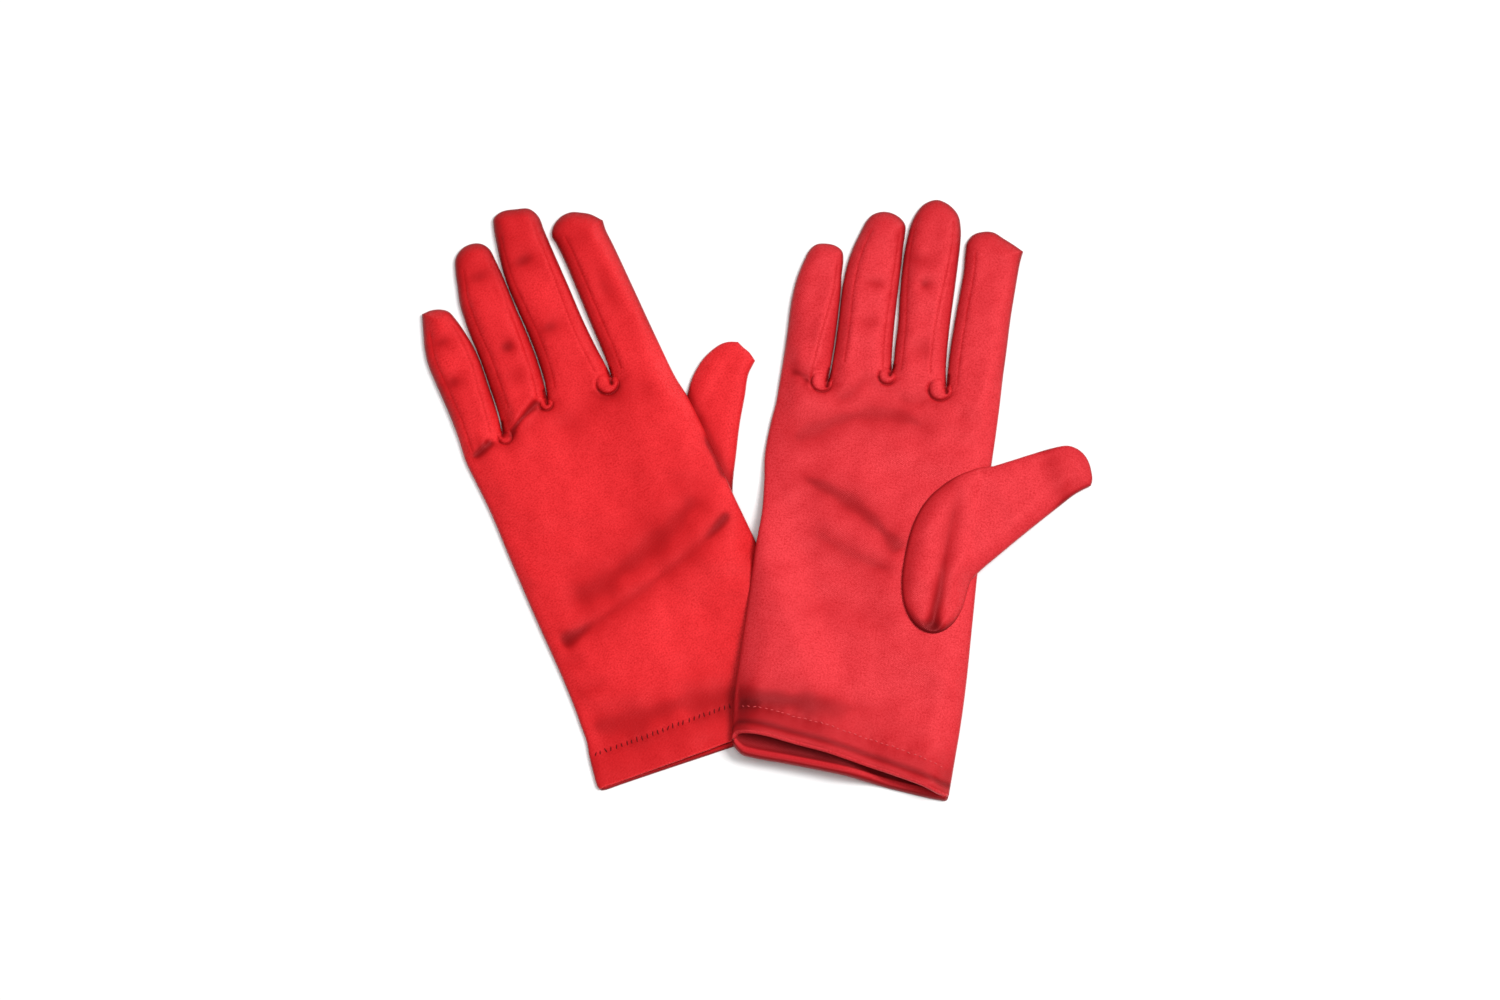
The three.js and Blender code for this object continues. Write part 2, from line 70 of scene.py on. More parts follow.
def resample(points, step):
    """Points every step millimetres along a polyline, keeping its ends."""
    points = arr(points)
    seg = np.hypot(*np.diff(points, axis=0).T)
    at = np.concatenate([[0], np.cumsum(seg)])
    n = max(2, int(round(at[-1] / step)) + 1)
    want = np.linspace(0, at[-1], n)
    return np.stack([np.interp(want, at, points[:, k]) for k in range(points.shape[1])], 1)


def spline(points, step=0.6):
    """A centripetal Catmull-Rom curve through the points, resampled."""
    p = arr(points)
    if len(p) < 3:
        return resample(p, step)
    p = np.vstack([2 * p[0] - p[1], p, 2 * p[-1] - p[-2]])
    out = []
    for i in range(len(p) - 3):
        p0, p1, p2, p3 = p[i : i + 4]
        t0 = 0.0
        t1 = t0 + max(np.linalg.norm(p1 - p0), 1e-6) ** 0.5
        t2 = t1 + max(np.linalg.norm(p2 - p1), 1e-6) ** 0.5
        t3 = t2 + max(np.linalg.norm(p3 - p2), 1e-6) ** 0.5
        t = np.linspace(t1, t2, 16, endpoint=False)[:, None]
        a1 = (t1 - t) / (t1 - t0) * p0 + (t - t0) / (t1 - t0) * p1
        a2 = (t2 - t) / (t2 - t1) * p1 + (t - t1) / (t2 - t1) * p2
        a3 = (t3 - t) / (t3 - t2) * p2 + (t - t2) / (t3 - t2) * p3
        b1 = (t2 - t) / (t2 - t0) * a1 + (t - t0) / (t2 - t0) * a2
        b2 = (t3 - t) / (t3 - t1) * a2 + (t - t1) / (t3 - t1) * a3
        out.append((t2 - t) / (t2 - t1) * b1 + (t - t1) / (t2 - t1) * b2)
    out.append(p[-2][None])
    return resample(np.vstack(out), step)


def to_line(P, line):
    """Distance from points to a polyline, how far along it (mm), and the signed side (left positive)."""
    P, line = arr(P), arr(line)
    a, b = line[:-1], line[1:]
    d = b - a
    ll = np.maximum((d**2).sum(1), 1e-12)
    start = np.concatenate([[0], np.cumsum(np.sqrt(ll))])[:-1]
    dist, along, side = (np.empty(len(P)) for _ in range(3))
    mid, half = (a + b) / 2, np.sqrt(ll) / 2
    # points are taken a cell at a time, against the segments that could be nearest to it
    cell_size = 9.0
    cell = np.floor(P / cell_size).astype(int)
    key = (cell[:, 0] + 500) * 4096 + cell[:, 1] + 500
    order = key.argsort(kind="stable")
    edges = np.flatnonzero(np.diff(key[order])) + 1
    for rows in np.split(order, edges):
        q = P[rows]
        low, high = q.min(0), q.max(0)
        centre, reach = (low + high) / 2, np.hypot(*(high - low)) / 2
        far = np.hypot(*(mid - centre).T)
        use = np.flatnonzero(far - half <= (far + half).min() + 2 * reach + 1e-9)
        w = q[:, None, :] - a[use][None]
        t = np.clip((w * d[use][None]).sum(2) / ll[use], 0, 1)
        r = w - t[..., None] * d[use][None]
        dd = (r**2).sum(2)
        j = dd.argmin(1)
        pick = np.arange(len(q))
        k = use[j]
        dist[rows] = np.sqrt(dd[pick, j])
        along[rows] = start[k] + t[pick, j] * np.sqrt(ll[k])
        side[rows] = np.sign(d[k, 0] * w[pick, j, 1] - d[k, 1] * w[pick, j, 0])
    return dist, along, side


def distance(P, line):
    return to_line(P, line)[0]


def inside(P, polygon):
    """Which points lie inside a closed polygon, by counting crossings."""
    P = arr(P)
    hit = np.zeros(len(P), bool)
    order = P[:, 1].argsort()
    xs, ys = P[order, 0], P[order, 1]
    a, b = polygon, np.roll(polygon, -1, 0)
    for (ax, ay), (bx, by) in zip(a, b):
        if ay == by:
            continue
        lo, hi = np.searchsorted(ys, (min(ay, by), max(ay, by)), side="left")
        if lo == hi:
            continue
        y = ys[lo:hi]
        hit[lo:hi] ^= xs[lo:hi] < (bx - ax) * (y - ay) / (by - ay) + ax
    out = np.empty(len(P), bool)
    out[order] = hit
    return out


class Waves:
    """Soft unevenness: a sum of plane waves between two wavelengths (mm)."""

    def __init__(self, seed, shortest, longest, count=14):
        r = np.random.default_rng(seed)
        turn = r.uniform(0, 2 * math.pi, count)
        length = np.exp(r.uniform(math.log(shortest), math.log(longest), count))
        self.k = np.stack([np.cos(turn), np.sin(turn)], 1) * (2 * math.pi / length)[:, None]
        self.phase = r.uniform(0, 2 * math.pi, count)
        self.size = (length / longest) ** 0.8
        self.size /= math.sqrt((self.size**2).sum() / 2)

    def __call__(self, P):
        return (np.sin(P @ self.k.T + self.phase) * self.size).sum(1)


# ---- the two gloves
LEFT = dict(
    name="left",
    at=(-19.349, -101.259),
    turn=math.radians(24.3),
    # outline from the cuff's left fold up the little-finger side, round each finger, and down the thumb side
    runs=[
        [(-43.9, 4.4), (-44.1, 6.4), (-43.3, 11.7), (-42.2, 17.8), (-40.8, 23.5), (-40.3, 30),
         (-39.8, 36.3), (-39.3, 49), (-39.3, 75), (-38.9, 101), (-38.4, 120), (-38.8, 133.5), (-39.1, 143),
         (-38, 152.7), (-37.4, 165), (-37.3, 178), (-37, 185), (-35.6, 191.5), (-33.4, 198),
         (-31.2, 204.2)],
        [(-31.2, 204.2), (-27.5, 204.2), (-23.8, 203), (-21.2, 200.8), (-19.9, 196.8), (-18.6, 189.6),
         (-18.0, 182.9), (-18.1, 176.5), (-18.9, 168.2), (-19.75, 159.7), (-20.6, 153.5), (-21.7, 147.4)],
        [(-21.7, 147.4), (-20.2, 153), (-18.8, 165.9), (-17.7, 178.3), (-17.4, 189.1), (-16.9, 195.3),
         (-16, 202), (-14.3, 208), (-12.3, 214.8), (-10.2, 219.4), (-6.5, 222), (-2.2, 222.3), (1.4, 220.7),
         (3.4, 217.6), (3.8, 212), (3.8, 205.5), (3.6, 199.1), (3.3, 190.7), (3.2, 182), (2.8, 173),
         (1.9, 164), (0.9, 158), (-0.2, 153)],
        [(-0.2, 153), (1.25, 158), (2.25, 164), (3.15, 173), (3.55, 182), (3.7, 191), (4, 201.2),
         (5, 209.4), (6.6, 217.3), (8.2, 224), (10, 228.2), (13.9, 229.4), (19.5, 228), (24.2, 226),
         (26.3, 221.7), (26.1, 215.8), (25.9, 208.6), (25.8, 202), (25.6, 189), (25.3, 177), (25.5, 166),
         (26, 157), (26.2, 150.5)],
        [(26.2, 150.5), (26.9, 157), (27.2, 165), (27.5, 175.4), (28, 188.2), (28.4, 200.9), (28.2, 208.3),
         (27.9, 212.4), (30.2, 215.8), (34.4, 218), (38.6, 218), (42.1, 216.3), (45.4, 214), (48.7, 209.8)],
        [(48.7, 209.8), (48.2, 206), (48.4, 198.5), (48.5, 178.9), (48.5, 165.8), (48.6, 152.7),
         (48.8, 139.6), (49.7, 131.7), (50.2, 118), (50.2, 100), (50, 87), (50.3, 76), (50.5, 67),
         (50.1, 52), (49, 36), (47, 20), (45.3, 7), (43.9, -4)],
    ],
    cuff_top=[(-43.9, 4.4), (-42.6, 4.5), (-36, 3.9), (-20, 2.5), (-2, 1.1), (10, 0.4), (28, -1.8),
              (42.6, -4.2), (43.9, -4)],
    cuff_low=[(-43.9, 4.4), (-43.2, 3.4), (-41.6, 2.9), (-36, 2.4), (-20, 0.9), (-2, -0.9), (10, -2.1),
              (28, -4.3), (42.6, -5.9), (43.9, -4)],
    stitch_at=12.6,
    crotches=[(-21.7, 147.4), (-0.2, 153), (26.2, 150.5)],
    roots=dict(little=((-29.2, 154), (-26.3, 204)), ring=((-9.3, 159), (-4.8, 222.3)),
               middle=((13.9, 159.5), (16.4, 229)), index=((37.7, 156), (38.2, 218))),
)

RIGHT = dict(
    name="right",
    at=(31.751, -105.559),
    turn=math.radians(-7.1),
    runs=[
        [(-43.1, 3.4), (-43.4, 9), (-44.1, 20), (-44.1, 32), (-43.5, 58.3), (-43.2, 79.7), (-42.6, 93.7),
         (-43.2, 105.6), (-44.3, 117.4), (-43.6, 129.5), (-42.5, 138), (-42.1, 147.6), (-41.8, 156),
         (-41.6, 165.6), (-41.6, 177.6), (-41.2, 183.5), (-40.3, 189.6), (-38.6, 196), (-36.9, 200.6),
         (-34.6, 203.1), (-31, 203.9), (-27, 203.5), (-24.2, 201.6), (-23.3, 198), (-23.2, 191.7),
         (-22.8, 186), (-22.65, 174.1), (-22.8, 162.1), (-23.2, 153), (-23.4, 148.6)],
        [(-23.4, 148.6), (-22.9, 153), (-22.45, 161.9), (-22.3, 174), (-22.4, 185.9), (-22.1, 191.9),
         (-21.4, 198), (-20, 204.2), (-17.9, 210.5), (-16.2, 215), (-14, 217.9), (-10.2, 219.5),
         (-6.4, 219.3), (-2.9, 217.6), (-0.8, 215), (-0.5, 211), (-0.6, 206.7), (-0.5, 196.8),
         (-0.5, 182.8), (-0.2, 168.9), (0.3, 160), (0.8, 156)],
        [(0.8, 156), (1, 160), (0.9, 165), (0.8, 176.9), (0.3, 185), (0.0, 194.6), (0.0, 203), (0.4, 209),
         (1.3, 216), (3.2, 221.3), (6, 225), (10.3, 226.9), (15, 225.6), (19.2, 221.8), (21, 216),
         (21.5, 209), (21.5, 203.4), (21.4, 191.4), (21.2, 179.4), (21.3, 167.4), (21.8, 158),
         (22.6, 152.3)],
        [(22.6, 152.3), (22.4, 158), (22.3, 167.5), (22.8, 179.6), (23.5, 191.7), (23.9, 199), (23.7, 207),
         (23.9, 211), (26.1, 214.6), (29.9, 216.3), (33.8, 216.5), (38.3, 214.4), (42, 212.6),
         (46.3, 210.2)],
        [(46.3, 210.2), (45.6, 206), (44.9, 194.2), (44.4, 182.3), (44.3, 170.3), (44.1, 158.3),
         (44.1, 146.4), (43.9, 134.4), (43.5, 120), (43.2, 100), (43.1, 80.4), (43.4, 60), (43.7, 35),
         (43.4, 20), (42.8, 8), (42, -7.6)],
    ],
    cuff_top=[(-43.1, 3.4), (-42, 5.6), (-37, 6.2), (-29.6, 5.8), (-20, 4.4), (-10.4, 3.2), (8.8, -0.2),
              (28.2, -4.4), (39, -7.3), (42, -7.6)],
    cuff_low=[(-43.1, 3.4), (-42.4, 0.9), (-38.5, -2.6), (-34, -3.4), (-20, -4.2), (3.5, -6), (22.6, -8.4),
              (38, -10), (41.4, -9.8), (42, -7.6)],
    stitch_at=9.4,
    crotches=[(-23.4, 148.6), (0.8, 156), (22.6, 152.3)],
    roots=dict(little=((-32.6, 154), (-31.6, 203.2)), ring=((-11.5, 161), (-10.4, 219.4)),
               middle=((10.7, 161), (10.9, 226.6)), index=((32.9, 157), (34.2, 216))),
)
FINGERS = ("little", "ring", "middle", "index")


def place(glove, P):
    """From a glove's own frame in millimetres to the part's frame in metres."""
    c, s = math.cos(glove["turn"]), math.sin(glove["turn"])
    P = np.asarray(P, float)
    x = glove["at"][0] + c * P[..., 0] - s * P[..., 1]
    y = glove["at"][1] + s * P[..., 0] + c * P[..., 1]
    z = P[..., 2] if P.shape[-1] > 2 else np.zeros(P.shape[:-1])
    return np.stack([x, y, z], -1) * MM


# ---- how high the cloth lies
EDGE = 0.85  # half the thickness of a folded edge
SEAM_REACH = 9.0  # how far from a seam points are looked at
NO_SEAM = 5.0  # distance given to points that no seam is near
UV_SIZE = 100  # millimetres of cloth for each unit of the UV map
OUTLINE_STEP = 0.55  # between points of an outline
UPPER_STEP, LOWER_STEP = 1.05, 3.0  # between points inside the upper and the lower sheet
FINGERS_FROM = 143  # above this the upper sheet is meshed finer
FACING_ROWS = (0.8, 2, 4, 7, 10, 13)  # how deep in the cuff the rows of the turned-in layer lie
EDGE_ROWS = [0.1, 0.28, 0.55, 0.95, 1.5]  # distances from an edge of the rows of points in its roll
LIP = dict(left=0.6, right=1.15)  # radius of the hem's rolled lip


def left_lift(P):
    x, y = P[:, 0], P[:, 1]
    rise = 3.3 * smooth(x, 4, 34) * smooth(y - 0.8 * np.maximum(0, x - 34), 50, 76)
    return rise * (1 - smooth(y, 124, 152))


def right_lift(P):
    x, y = P[:, 0], P[:, 1]
    d = 0.899 * (-11.5 - x) + 0.437 * (16.6 - y)
    return 5.0 * smooth(d, -17, 1)


def left_height(P):
    """Thickness of the left glove in its middle."""
    y = P[:, 1]
    return 3.2 + 1.8 * smooth(y, 14, 70) + 0.2 * smooth(y, 140, 165)


def right_height(P):
    y = P[:, 1]
    return 6.4 - 1.8 * smooth(y, 25, 80) + 0.6 * smooth(y, 140, 165)


def fold(P, path, width, depth, ridge, taper, step):
    """A soft crease along a path: a valley of that depth, a ridge beside it, and a step across it.

    It gives how far the cloth rises, and from 0 to 1 how much of the crease's painted shade each point gets."""
    line = spline(path, 2.0)
    d, s, side = to_line(P, line)
    total = np.hypot(*np.diff(line, axis=0).T).sum()
    sd = d * side
    # the crease fades out at its ends
    ends = smooth(s, -0.01, taper[0]) * smooth(total - s, -0.01, taper[1])
    over = np.exp(-(d**2) / (2 * (3.0 * width) ** 2))
    z = -depth * bell(sd, width)
    z += ridge * bell(sd - 2.4 * width, 1.9 * width)
    z += step * np.tanh(sd / width) * over
    wander = 1 + 0.28 * np.sin(s * 0.21 + path[0][0]) + 0.18 * np.sin(s * 0.53 + path[0][1])
    soft = 0.62 * bell(sd, width * wander) + 0.38 * bell(sd, 2.4 * width)
    return z * ends, soft * ends


# each crease: its path, width, depth, ridge beside it, how its ends fade (mm), step across it, how much shade
# is painted in it
LEFT["folds"] = [
    ([(-37, 61.5), (-28, 62.4), (-18, 63.8), (0, 67.4), (19, 71.8), (33, 75.8), (47.5, 83)],
     3.8, 0.7, 0.1, (6, 6), 0.15, 0.45),
    ([(-37, 61.8), (-28, 62.6), (-20, 64), (-8, 66)], 2.6, 0.4, 0.05, (5, 24), 0.1, 0.66),
    ([(24, 73), (33, 75.8), (41, 79.3), (47.5, 83)], 1.8, 0.35, 0.1, (18, 5), 0.1, 0.68),
    ([(-34, 76), (-13, 76.5), (11, 82), (31, 89.5), (44, 98)], 6.5, 0.9, 0.15, (16, 14), 0.2, 0.5),
    ([(-38, 142.4), (-30, 144.4), (-25.5, 146.8)], 1.5, 0.7, 0.35, (4, 3), 0.3, 0.85),
    ([(-22, 143.4), (-15, 147.6), (-8, 151), (-2.5, 153.6)], 1.2, 0.75, 0.45, (5, 3), 0.25, 0.85),
    ([(-17, 141), (-8, 146.5), (-2.5, 151.5)], 3.2, 0.4, 0.3, (6, 3), 0.1, 0.2),
    ([(-40, 28.5), (-28, 25.5), (-18, 23.5), (3, 21.5), (19, 17), (36, 12)], 5.6, 0.6, 0.1, (6, 8), 0.2, 0.5),
    ([(-39, 54), (-33, 53.6), (-24, 52)], 3.0, 0.35, 0.2, (3, 8), 0.1, 0.25),
    ([(-39, 42), (-33, 41), (-22, 40.5)], 3.0, 0.3, 0.1, (3, 8), 0.1, 0.3),
    ([(-8, 139.5), (4, 141), (18, 142.4), (32, 140.2), (42, 136)], 5.0, 0.5, 0.2, (10, 10), 0.1, 0.28),
    # the slot along the palm's edge over the thumb: mostly a painted shadow of that edge
    ([(49.0, 117), (50.1, 109), (50.2, 101), (49.9, 93)], 1.1, 0.5, 0.1, (8, 4), 0.0, 1.3),
    ([(24, 104), (36, 98), (46, 90)], 6.0, 0.4, 0.2, (10, 6), 0.1, 0.2),
    ([(48, 71), (44, 50), (39, 30), (36, 12)], 4.5, 0.5, 0.1, (8, 2), 0.0, 0.25),
]
RIGHT["folds"] = [
    ([(-36, 112), (-29.5, 109.5), (-13, 103.5), (-1, 96.5), (8, 89), (14, 83)],
     3.8, 0.6, 0.3, (14, 4), 0.2, 0.6),
    ([(-28, 91), (-18.8, 87), (-6.3, 81.5), (5, 78), (13, 76)], 3.8, 0.5, 0.3, (10, 6), 0.2, 0.45),
    ([(-39, 119), (-31.5, 125), (-20, 132), (-13, 135.2), (-2, 137.8), (8, 137.6), (22.7, 132)],
     4.6, 0.5, 0.2, (10, 12), 0.15, 0.5),
    ([(-41, 151.5), (-34.7, 149.6), (-29, 147.2)], 2.4, 0.6, 0.4, (5, 3), 0.2, 0.6),
    ([(-24, 139.5), (-16, 143), (-11, 148.5), (-8, 155)], 3.0, 0.5, 0.3, (8, 6), 0.15, 0.4),
    ([(2, 147), (9, 144.5), (17, 145)], 2.6, 0.4, 0.2, (5, 4), 0.1, 0.35),
    ([(-43, 18.6), (-34, 19.6), (-22, 20.6), (0, 21.5), (20, 23), (36, 25)],
     4.2, 0.6, 0.1, (1, 60), 0.2, 0.52),
    ([(-43, 17.6), (-34, 18.4), (-24, 19.5)], 2.4, 0.3, 0.1, (1, 14), 0.1, 0.5),
    ([(-34, 57), (-14, 59.2), (2, 58), (16, 52)], 6.0, 0.3, 0.2, (12, 10), 0.1, 0.14),
    ([(2, 38), (20, 36), (36, 38)], 6.0, 0.25, 0.1, (10, 10), 0.1, 0.1),
    ([(26, 142), (32, 139), (40, 140)], 3.0, 0.3, 0.1, (4, 4), 0.0, 0.15),
]
# soft hollows in the fingers: where, how wide across and along, how deep (which also sets the shade painted
# in them)
LEFT["dimples"] = [(-6.1, 177.4, 4.2, 3.8, 1.0), (13.6, 206.8, 5.5, 3.4, 0.7), (12.1, 177.9, 6.2, 4.2, 0.8),
                   (-30.7, 173.3, 4.4, 4, 0.8), (-28.4, 189.7, 5.2, 3.2, 0.7), (38.1, 183.5, 3.6, 12, 0.6),
                   (-5.0, 208, 6, 4, 0.5), (36, 206, 5, 5, 0.3), (-8, 166, 6, 4, 0.5),
                   (14, 192, 5, 6, -0.4), (-29, 180, 4, 4, -0.4)]
RIGHT["dimples"] = [(-10, 189.5, 5.2, 2.6, 0.75), (-10.8, 173.5, 5, 3.6, 0.5), (9.4, 191.5, 3.2, 3.0, 1.0),
                    (6.5, 201, 6, 4, 0.6), (11.5, 166.1, 5, 5, 0.6), (-31, 186, 5, 5, 0.25),
                    (33, 190, 5, 14, 0.3), (-33, 168, 5, 6, 0.3)]
# the forks' seams: how far in from each side of a finger (mm), at its tip and at its root; None for none
LEFT["seams"] = dict(little=((3.2, 3.6), (3.0, 4.4)), ring=((3.4, 4.2), (2.2, 3.6)),
                     middle=((2.4, 3.6), (3.4, 5.4)), index=((4.0, 4.4), None))
RIGHT["seams"] = dict(little=(None, (2.2, 6.6)), ring=((4.4, 4.6), (2.2, 3.4)),
                      middle=((2.0, 3.4), (3.0, 6.2)), index=((4.2, 4.2), None))
# the rolled base of each fork: centre, radius, height, and the two ends of its slit
LEFT["curls"] = [((-21.4, 145.2), 2.6, 0.5, (-20.4, 151.5), (-21.6, 145.8)),
                 ((-1.6, 150.6), 2.4, 0.5, (0.1, 156), (-1.2, 150.6)),
                 ((23.4, 148.2), 4.2, 1.3, (26.4, 154), (24.8, 147.4))]
RIGHT["curls"] = [((-25.9, 147.6), 3.9, 1.3, (-23.2, 153.5), (-23.6, 146.2)),
                  ((-0.9, 153.0), 3.1, 1.1, (0.9, 158), (0.2, 153.6)),
                  ((20.2, 150.4), 4.3, 1.3, (22.7, 156.5), (22.9, 149.4))]


def finger_frame(glove, name):
    """A finger's root, the directions along and across it, and its length."""
    root, tip = (arr(p) for p in glove["roots"][name])
    length = np.linalg.norm(tip - root)
    axis = (tip - root) / length
    return root, axis, arr((axis[1], -axis[0])), length


def prepare(glove):
    """The outline, the seam lines and everything else that the sheets are made from."""
    runs = [spline(run, OUTLINE_STEP) for run in glove["runs"]]
    outline = np.vstack([runs[0]] + [run[1:] for run in runs[1:]])
    glove["side"] = outline
    lip = [0, 0.8 * LIP[glove["name"]]]
    glove["top_cuff"] = spline(glove["cuff_top"], 0.7) + lip
    glove["low_cuff"] = spline(glove["cuff_low"], 0.7) + lip
    outline[0], outline[-1] = glove["top_cuff"][0], glove["top_cuff"][-1]
    big, middling = (11, 31) if glove["name"] == "left" else (23, 47)
    glove["waves"] = [Waves(big, 26, 70), Waves(middling, 9, 20), Waves(5, 3.4, 7.5, 18)]
    # each finger's own piece of the outline
    cuts = [outline[0]] + [arr(c) for c in glove["crotches"]] + [outline[-1]]
    index = [0] + [int(np.hypot(*(outline - c).T).argmin()) for c in cuts[1:-1]] + [len(outline) - 1]
    glove["finger_outlines"] = [outline[a : b + 1] for a, b in zip(index, index[1:])]
    glove["satin"] = SATIN_LEFT_PAINTED_LIGHT if glove["name"] == "left" else SATIN_RIGHT_PAINTED_LIGHT
    seams = []
    for i, name in enumerate(FINGERS):
        root, axis, across, length = finger_frame(glove, name)
        for k, inset in enumerate(glove["seams"][name]):
            if inset is None:
                continue
            edge = glove["finger_outlines"][i]
            s, a = (edge - root) @ axis, (edge - root) @ across
            keep = ((a > 0) if k else (a < 0)) & (s > -9) & (s < length - 3)
            s, a = s[keep], a[keep]
            order = s.argsort()
            s, a = s[order], a[order]
            want = np.arange(-9 if i == k == 0 else -4.5, length - 8.5, 1.5)
            at = np.interp(want, s, a)
            t = np.clip(want / (length - 9), 0, 1)
            off = inset[1] + (inset[0] - inset[1]) * smooth(t, 0, 1)
            at = at - (1 if k else -1) * off
            seams.append(root + want[:, None] * axis + at[:, None] * across)
    # a fork's seam goes round the curl at its base
    for centre, radius, _, _, _ in glove["curls"]:
        turn = np.radians(np.linspace(-205, 25, 20))
        seams.append(arr(centre) + (radius + 0.2) * np.stack([np.cos(turn), np.sin(turn)], 1))
    glove["seam_lines"] = seams


def roll(d, r):
    return r * np.sqrt(np.maximum(0, 1 - (1 - np.clip(d / r, 0, 1)) ** 2))


def lift_of(glove, P):
    return left_lift(P) if glove["name"] == "left" else right_lift(P)


def seam_distance(glove, P):
    """How far the nearest seam is, up to 9 mm, and how far along it that is."""
    best = np.full(len(P), SEAM_REACH)
    along = np.zeros(len(P))
    for line in glove["seam_lines"]:
        off = np.abs(P - line.mean(0))
        rows = np.flatnonzero((off < np.ptp(line, 0) / 2 + SEAM_REACH).all(1))
        if not len(rows):
            continue
        d, s, _ = to_line(P[rows], line)
        closer = d < best[rows]
        best[rows[closer]] = d[closer]
        along[rows[closer]] = s[closer]
    return best, along


def upper(glove, P):
    """The upper sheet's height, the distance to the nearest seam, and from 0 to 1 how much shade is painted
    on it.
    """
    P = arr(P)
    x, y = P[:, 0], P[:, 1]
    left = glove["name"] == "left"
    d = distance(P, glove["side"])
    height = left_height(P) if left else right_height(P)
    reach = 13 - 5.0 * smooth(y, 132, 160)
    crown = (height - 2 * EDGE) * (1 - (1 - np.clip(d / reach, 0, 1)) ** 2.2)
    tips = smooth(y, 180, 226)
    z = EDGE + roll(d, EDGE) + crown * (1 - 0.2 * tips)
    free = smooth(d, 0.3, 7)  # folded edges stay crisp
    shade = np.zeros(len(P))
    big, mid, small = glove["waves"]
    z += free * (0.42 * big(P) + 0.15 * mid(P))
    for path, width, depth, ridge, taper, step, dark in glove["folds"]:
        rise, deep = fold(P, path, width, depth, ridge, taper, step)
        z += smooth(d, 0, 4) * rise
        # painted shade along the crease
        shade = np.maximum(shade, 0.35 * shade + dark * deep * smooth(d, -0.5, 2))
    for cx, cy, wx, wy, depth in glove["dimples"]:
        u = ((x - cx) / wx) ** 2 + ((y - cy) / wy) ** 2
        z -= depth * np.exp(-u) * smooth(d, 0.4, 4)
        # painted shade in the hollow
        shade += 0.55 * depth * np.exp(-u * 1.3)
    seam, along = seam_distance(glove, P)
    pucker = np.sin(along * 2.1 + 1.3 * np.sin(along * 0.37)) * 0.05 + 0.05 * small(P)
    z += -0.16 * bell(seam, 0.36) + 0.07 * bell(seam - 1.4, 1.0)
    z += pucker * bell(seam, 3.0) * smooth(d, 0.2, 1.2)
    for centre, radius, tall, slit_a, slit_b in glove["curls"]:
        r = np.hypot(x - centre[0], y - centre[1])
        z += tall * np.sqrt(np.maximum(0, 1 - (r / (radius + 0.1)) ** 2)) * smooth(d, 0.0, 0.8)
        below = smooth(-(y - centre[1]) - 0.5 * (x - centre[0]), -2.5, 2)
        rim = bell(r - radius - 0.2, 0.5) * below
        z -= 0.5 * rim
        s = distance(P, resample([slit_a, slit_b], 1))
        z -= 2.2 * bell(s, 0.5)
        around = bell(r - radius - 1, 2.5) * (y < centre[1])
        # painted shade on the curl's rim, in its slit and below it
        shade += 0.45 * rim + 1.0 * bell(s, 0.7) + 0.25 * around
    # the stitched hem: a shallow groove at the stitches
    cuff_y = np.interp(x, glove["top_cuff"][:, 0], glove["top_cuff"][:, 1])
    hem = y - cuff_y - glove["stitch_at"]
    groove = -0.22 * bell(hem, 0.8)
    puckers = 0.1 * np.sin(x * 1.25) * bell(hem, 2.2)
    z += (groove + puckers) * smooth(d, 0.3, 3)
    z += 0.25 * bell(hem + 6.5, 4.5) * smooth(d, 0.3, 3)
    if not left:
        near = y - cuff_y
        bead = bell(near - 0.8, 1.1) - bell(near - 3.4, 1.1)
        z += 0.3 * bead * smooth(d, 0, 2)
        # painted shade in the groove above the right glove's lip
        shade += 0.4 * bell(near - 3.3, 1.1)
    # painted shade: darker where the cloth turns down at its sides, along the fingers' sides and towards
    # their tips, over all the left glove's fingers, and over the hem band down to the cuff
    shade += 0.30 * bell(d, 0.9) + 0.12 * bell(d, 2.8)
    all_over = 0.10 if left else 0.0
    shade += (0.20 * bell(d, 4.0) + 0.20 * smooth(y, 188, 222) + all_over) * smooth(y, 150, 164)
    wide, amount = (9.0, 0.20) if left else (17.0, 0.32)
    shade += amount * smooth(-hem, -wide, 1.0) * smooth(d, -1, 2)
    shade += 0.10 * smooth(-hem, -1, 1) * smooth(d, 0, 2)
    z = np.maximum(z, 0.75)
    return z + lift_of(glove, P), np.minimum(seam, np.abs(hem) + 0.35), np.clip(shade, 0, 1)


def lower(glove, P):
    d = distance(P, glove["side"])
    z = EDGE - roll(d, EDGE) + 0.06
    return z + lift_of(glove, P)


# ---- sheets to meshes
def hexes(low, high, step):
    rows = np.arange(low[1], high[1], step * 0.866)
    cols = np.arange(low[0], high[0], step)
    gx, gy = np.meshgrid(cols, rows)
    gx[1::2] += step / 2
    return np.stack([gx.ravel(), gy.ravel()], 1)


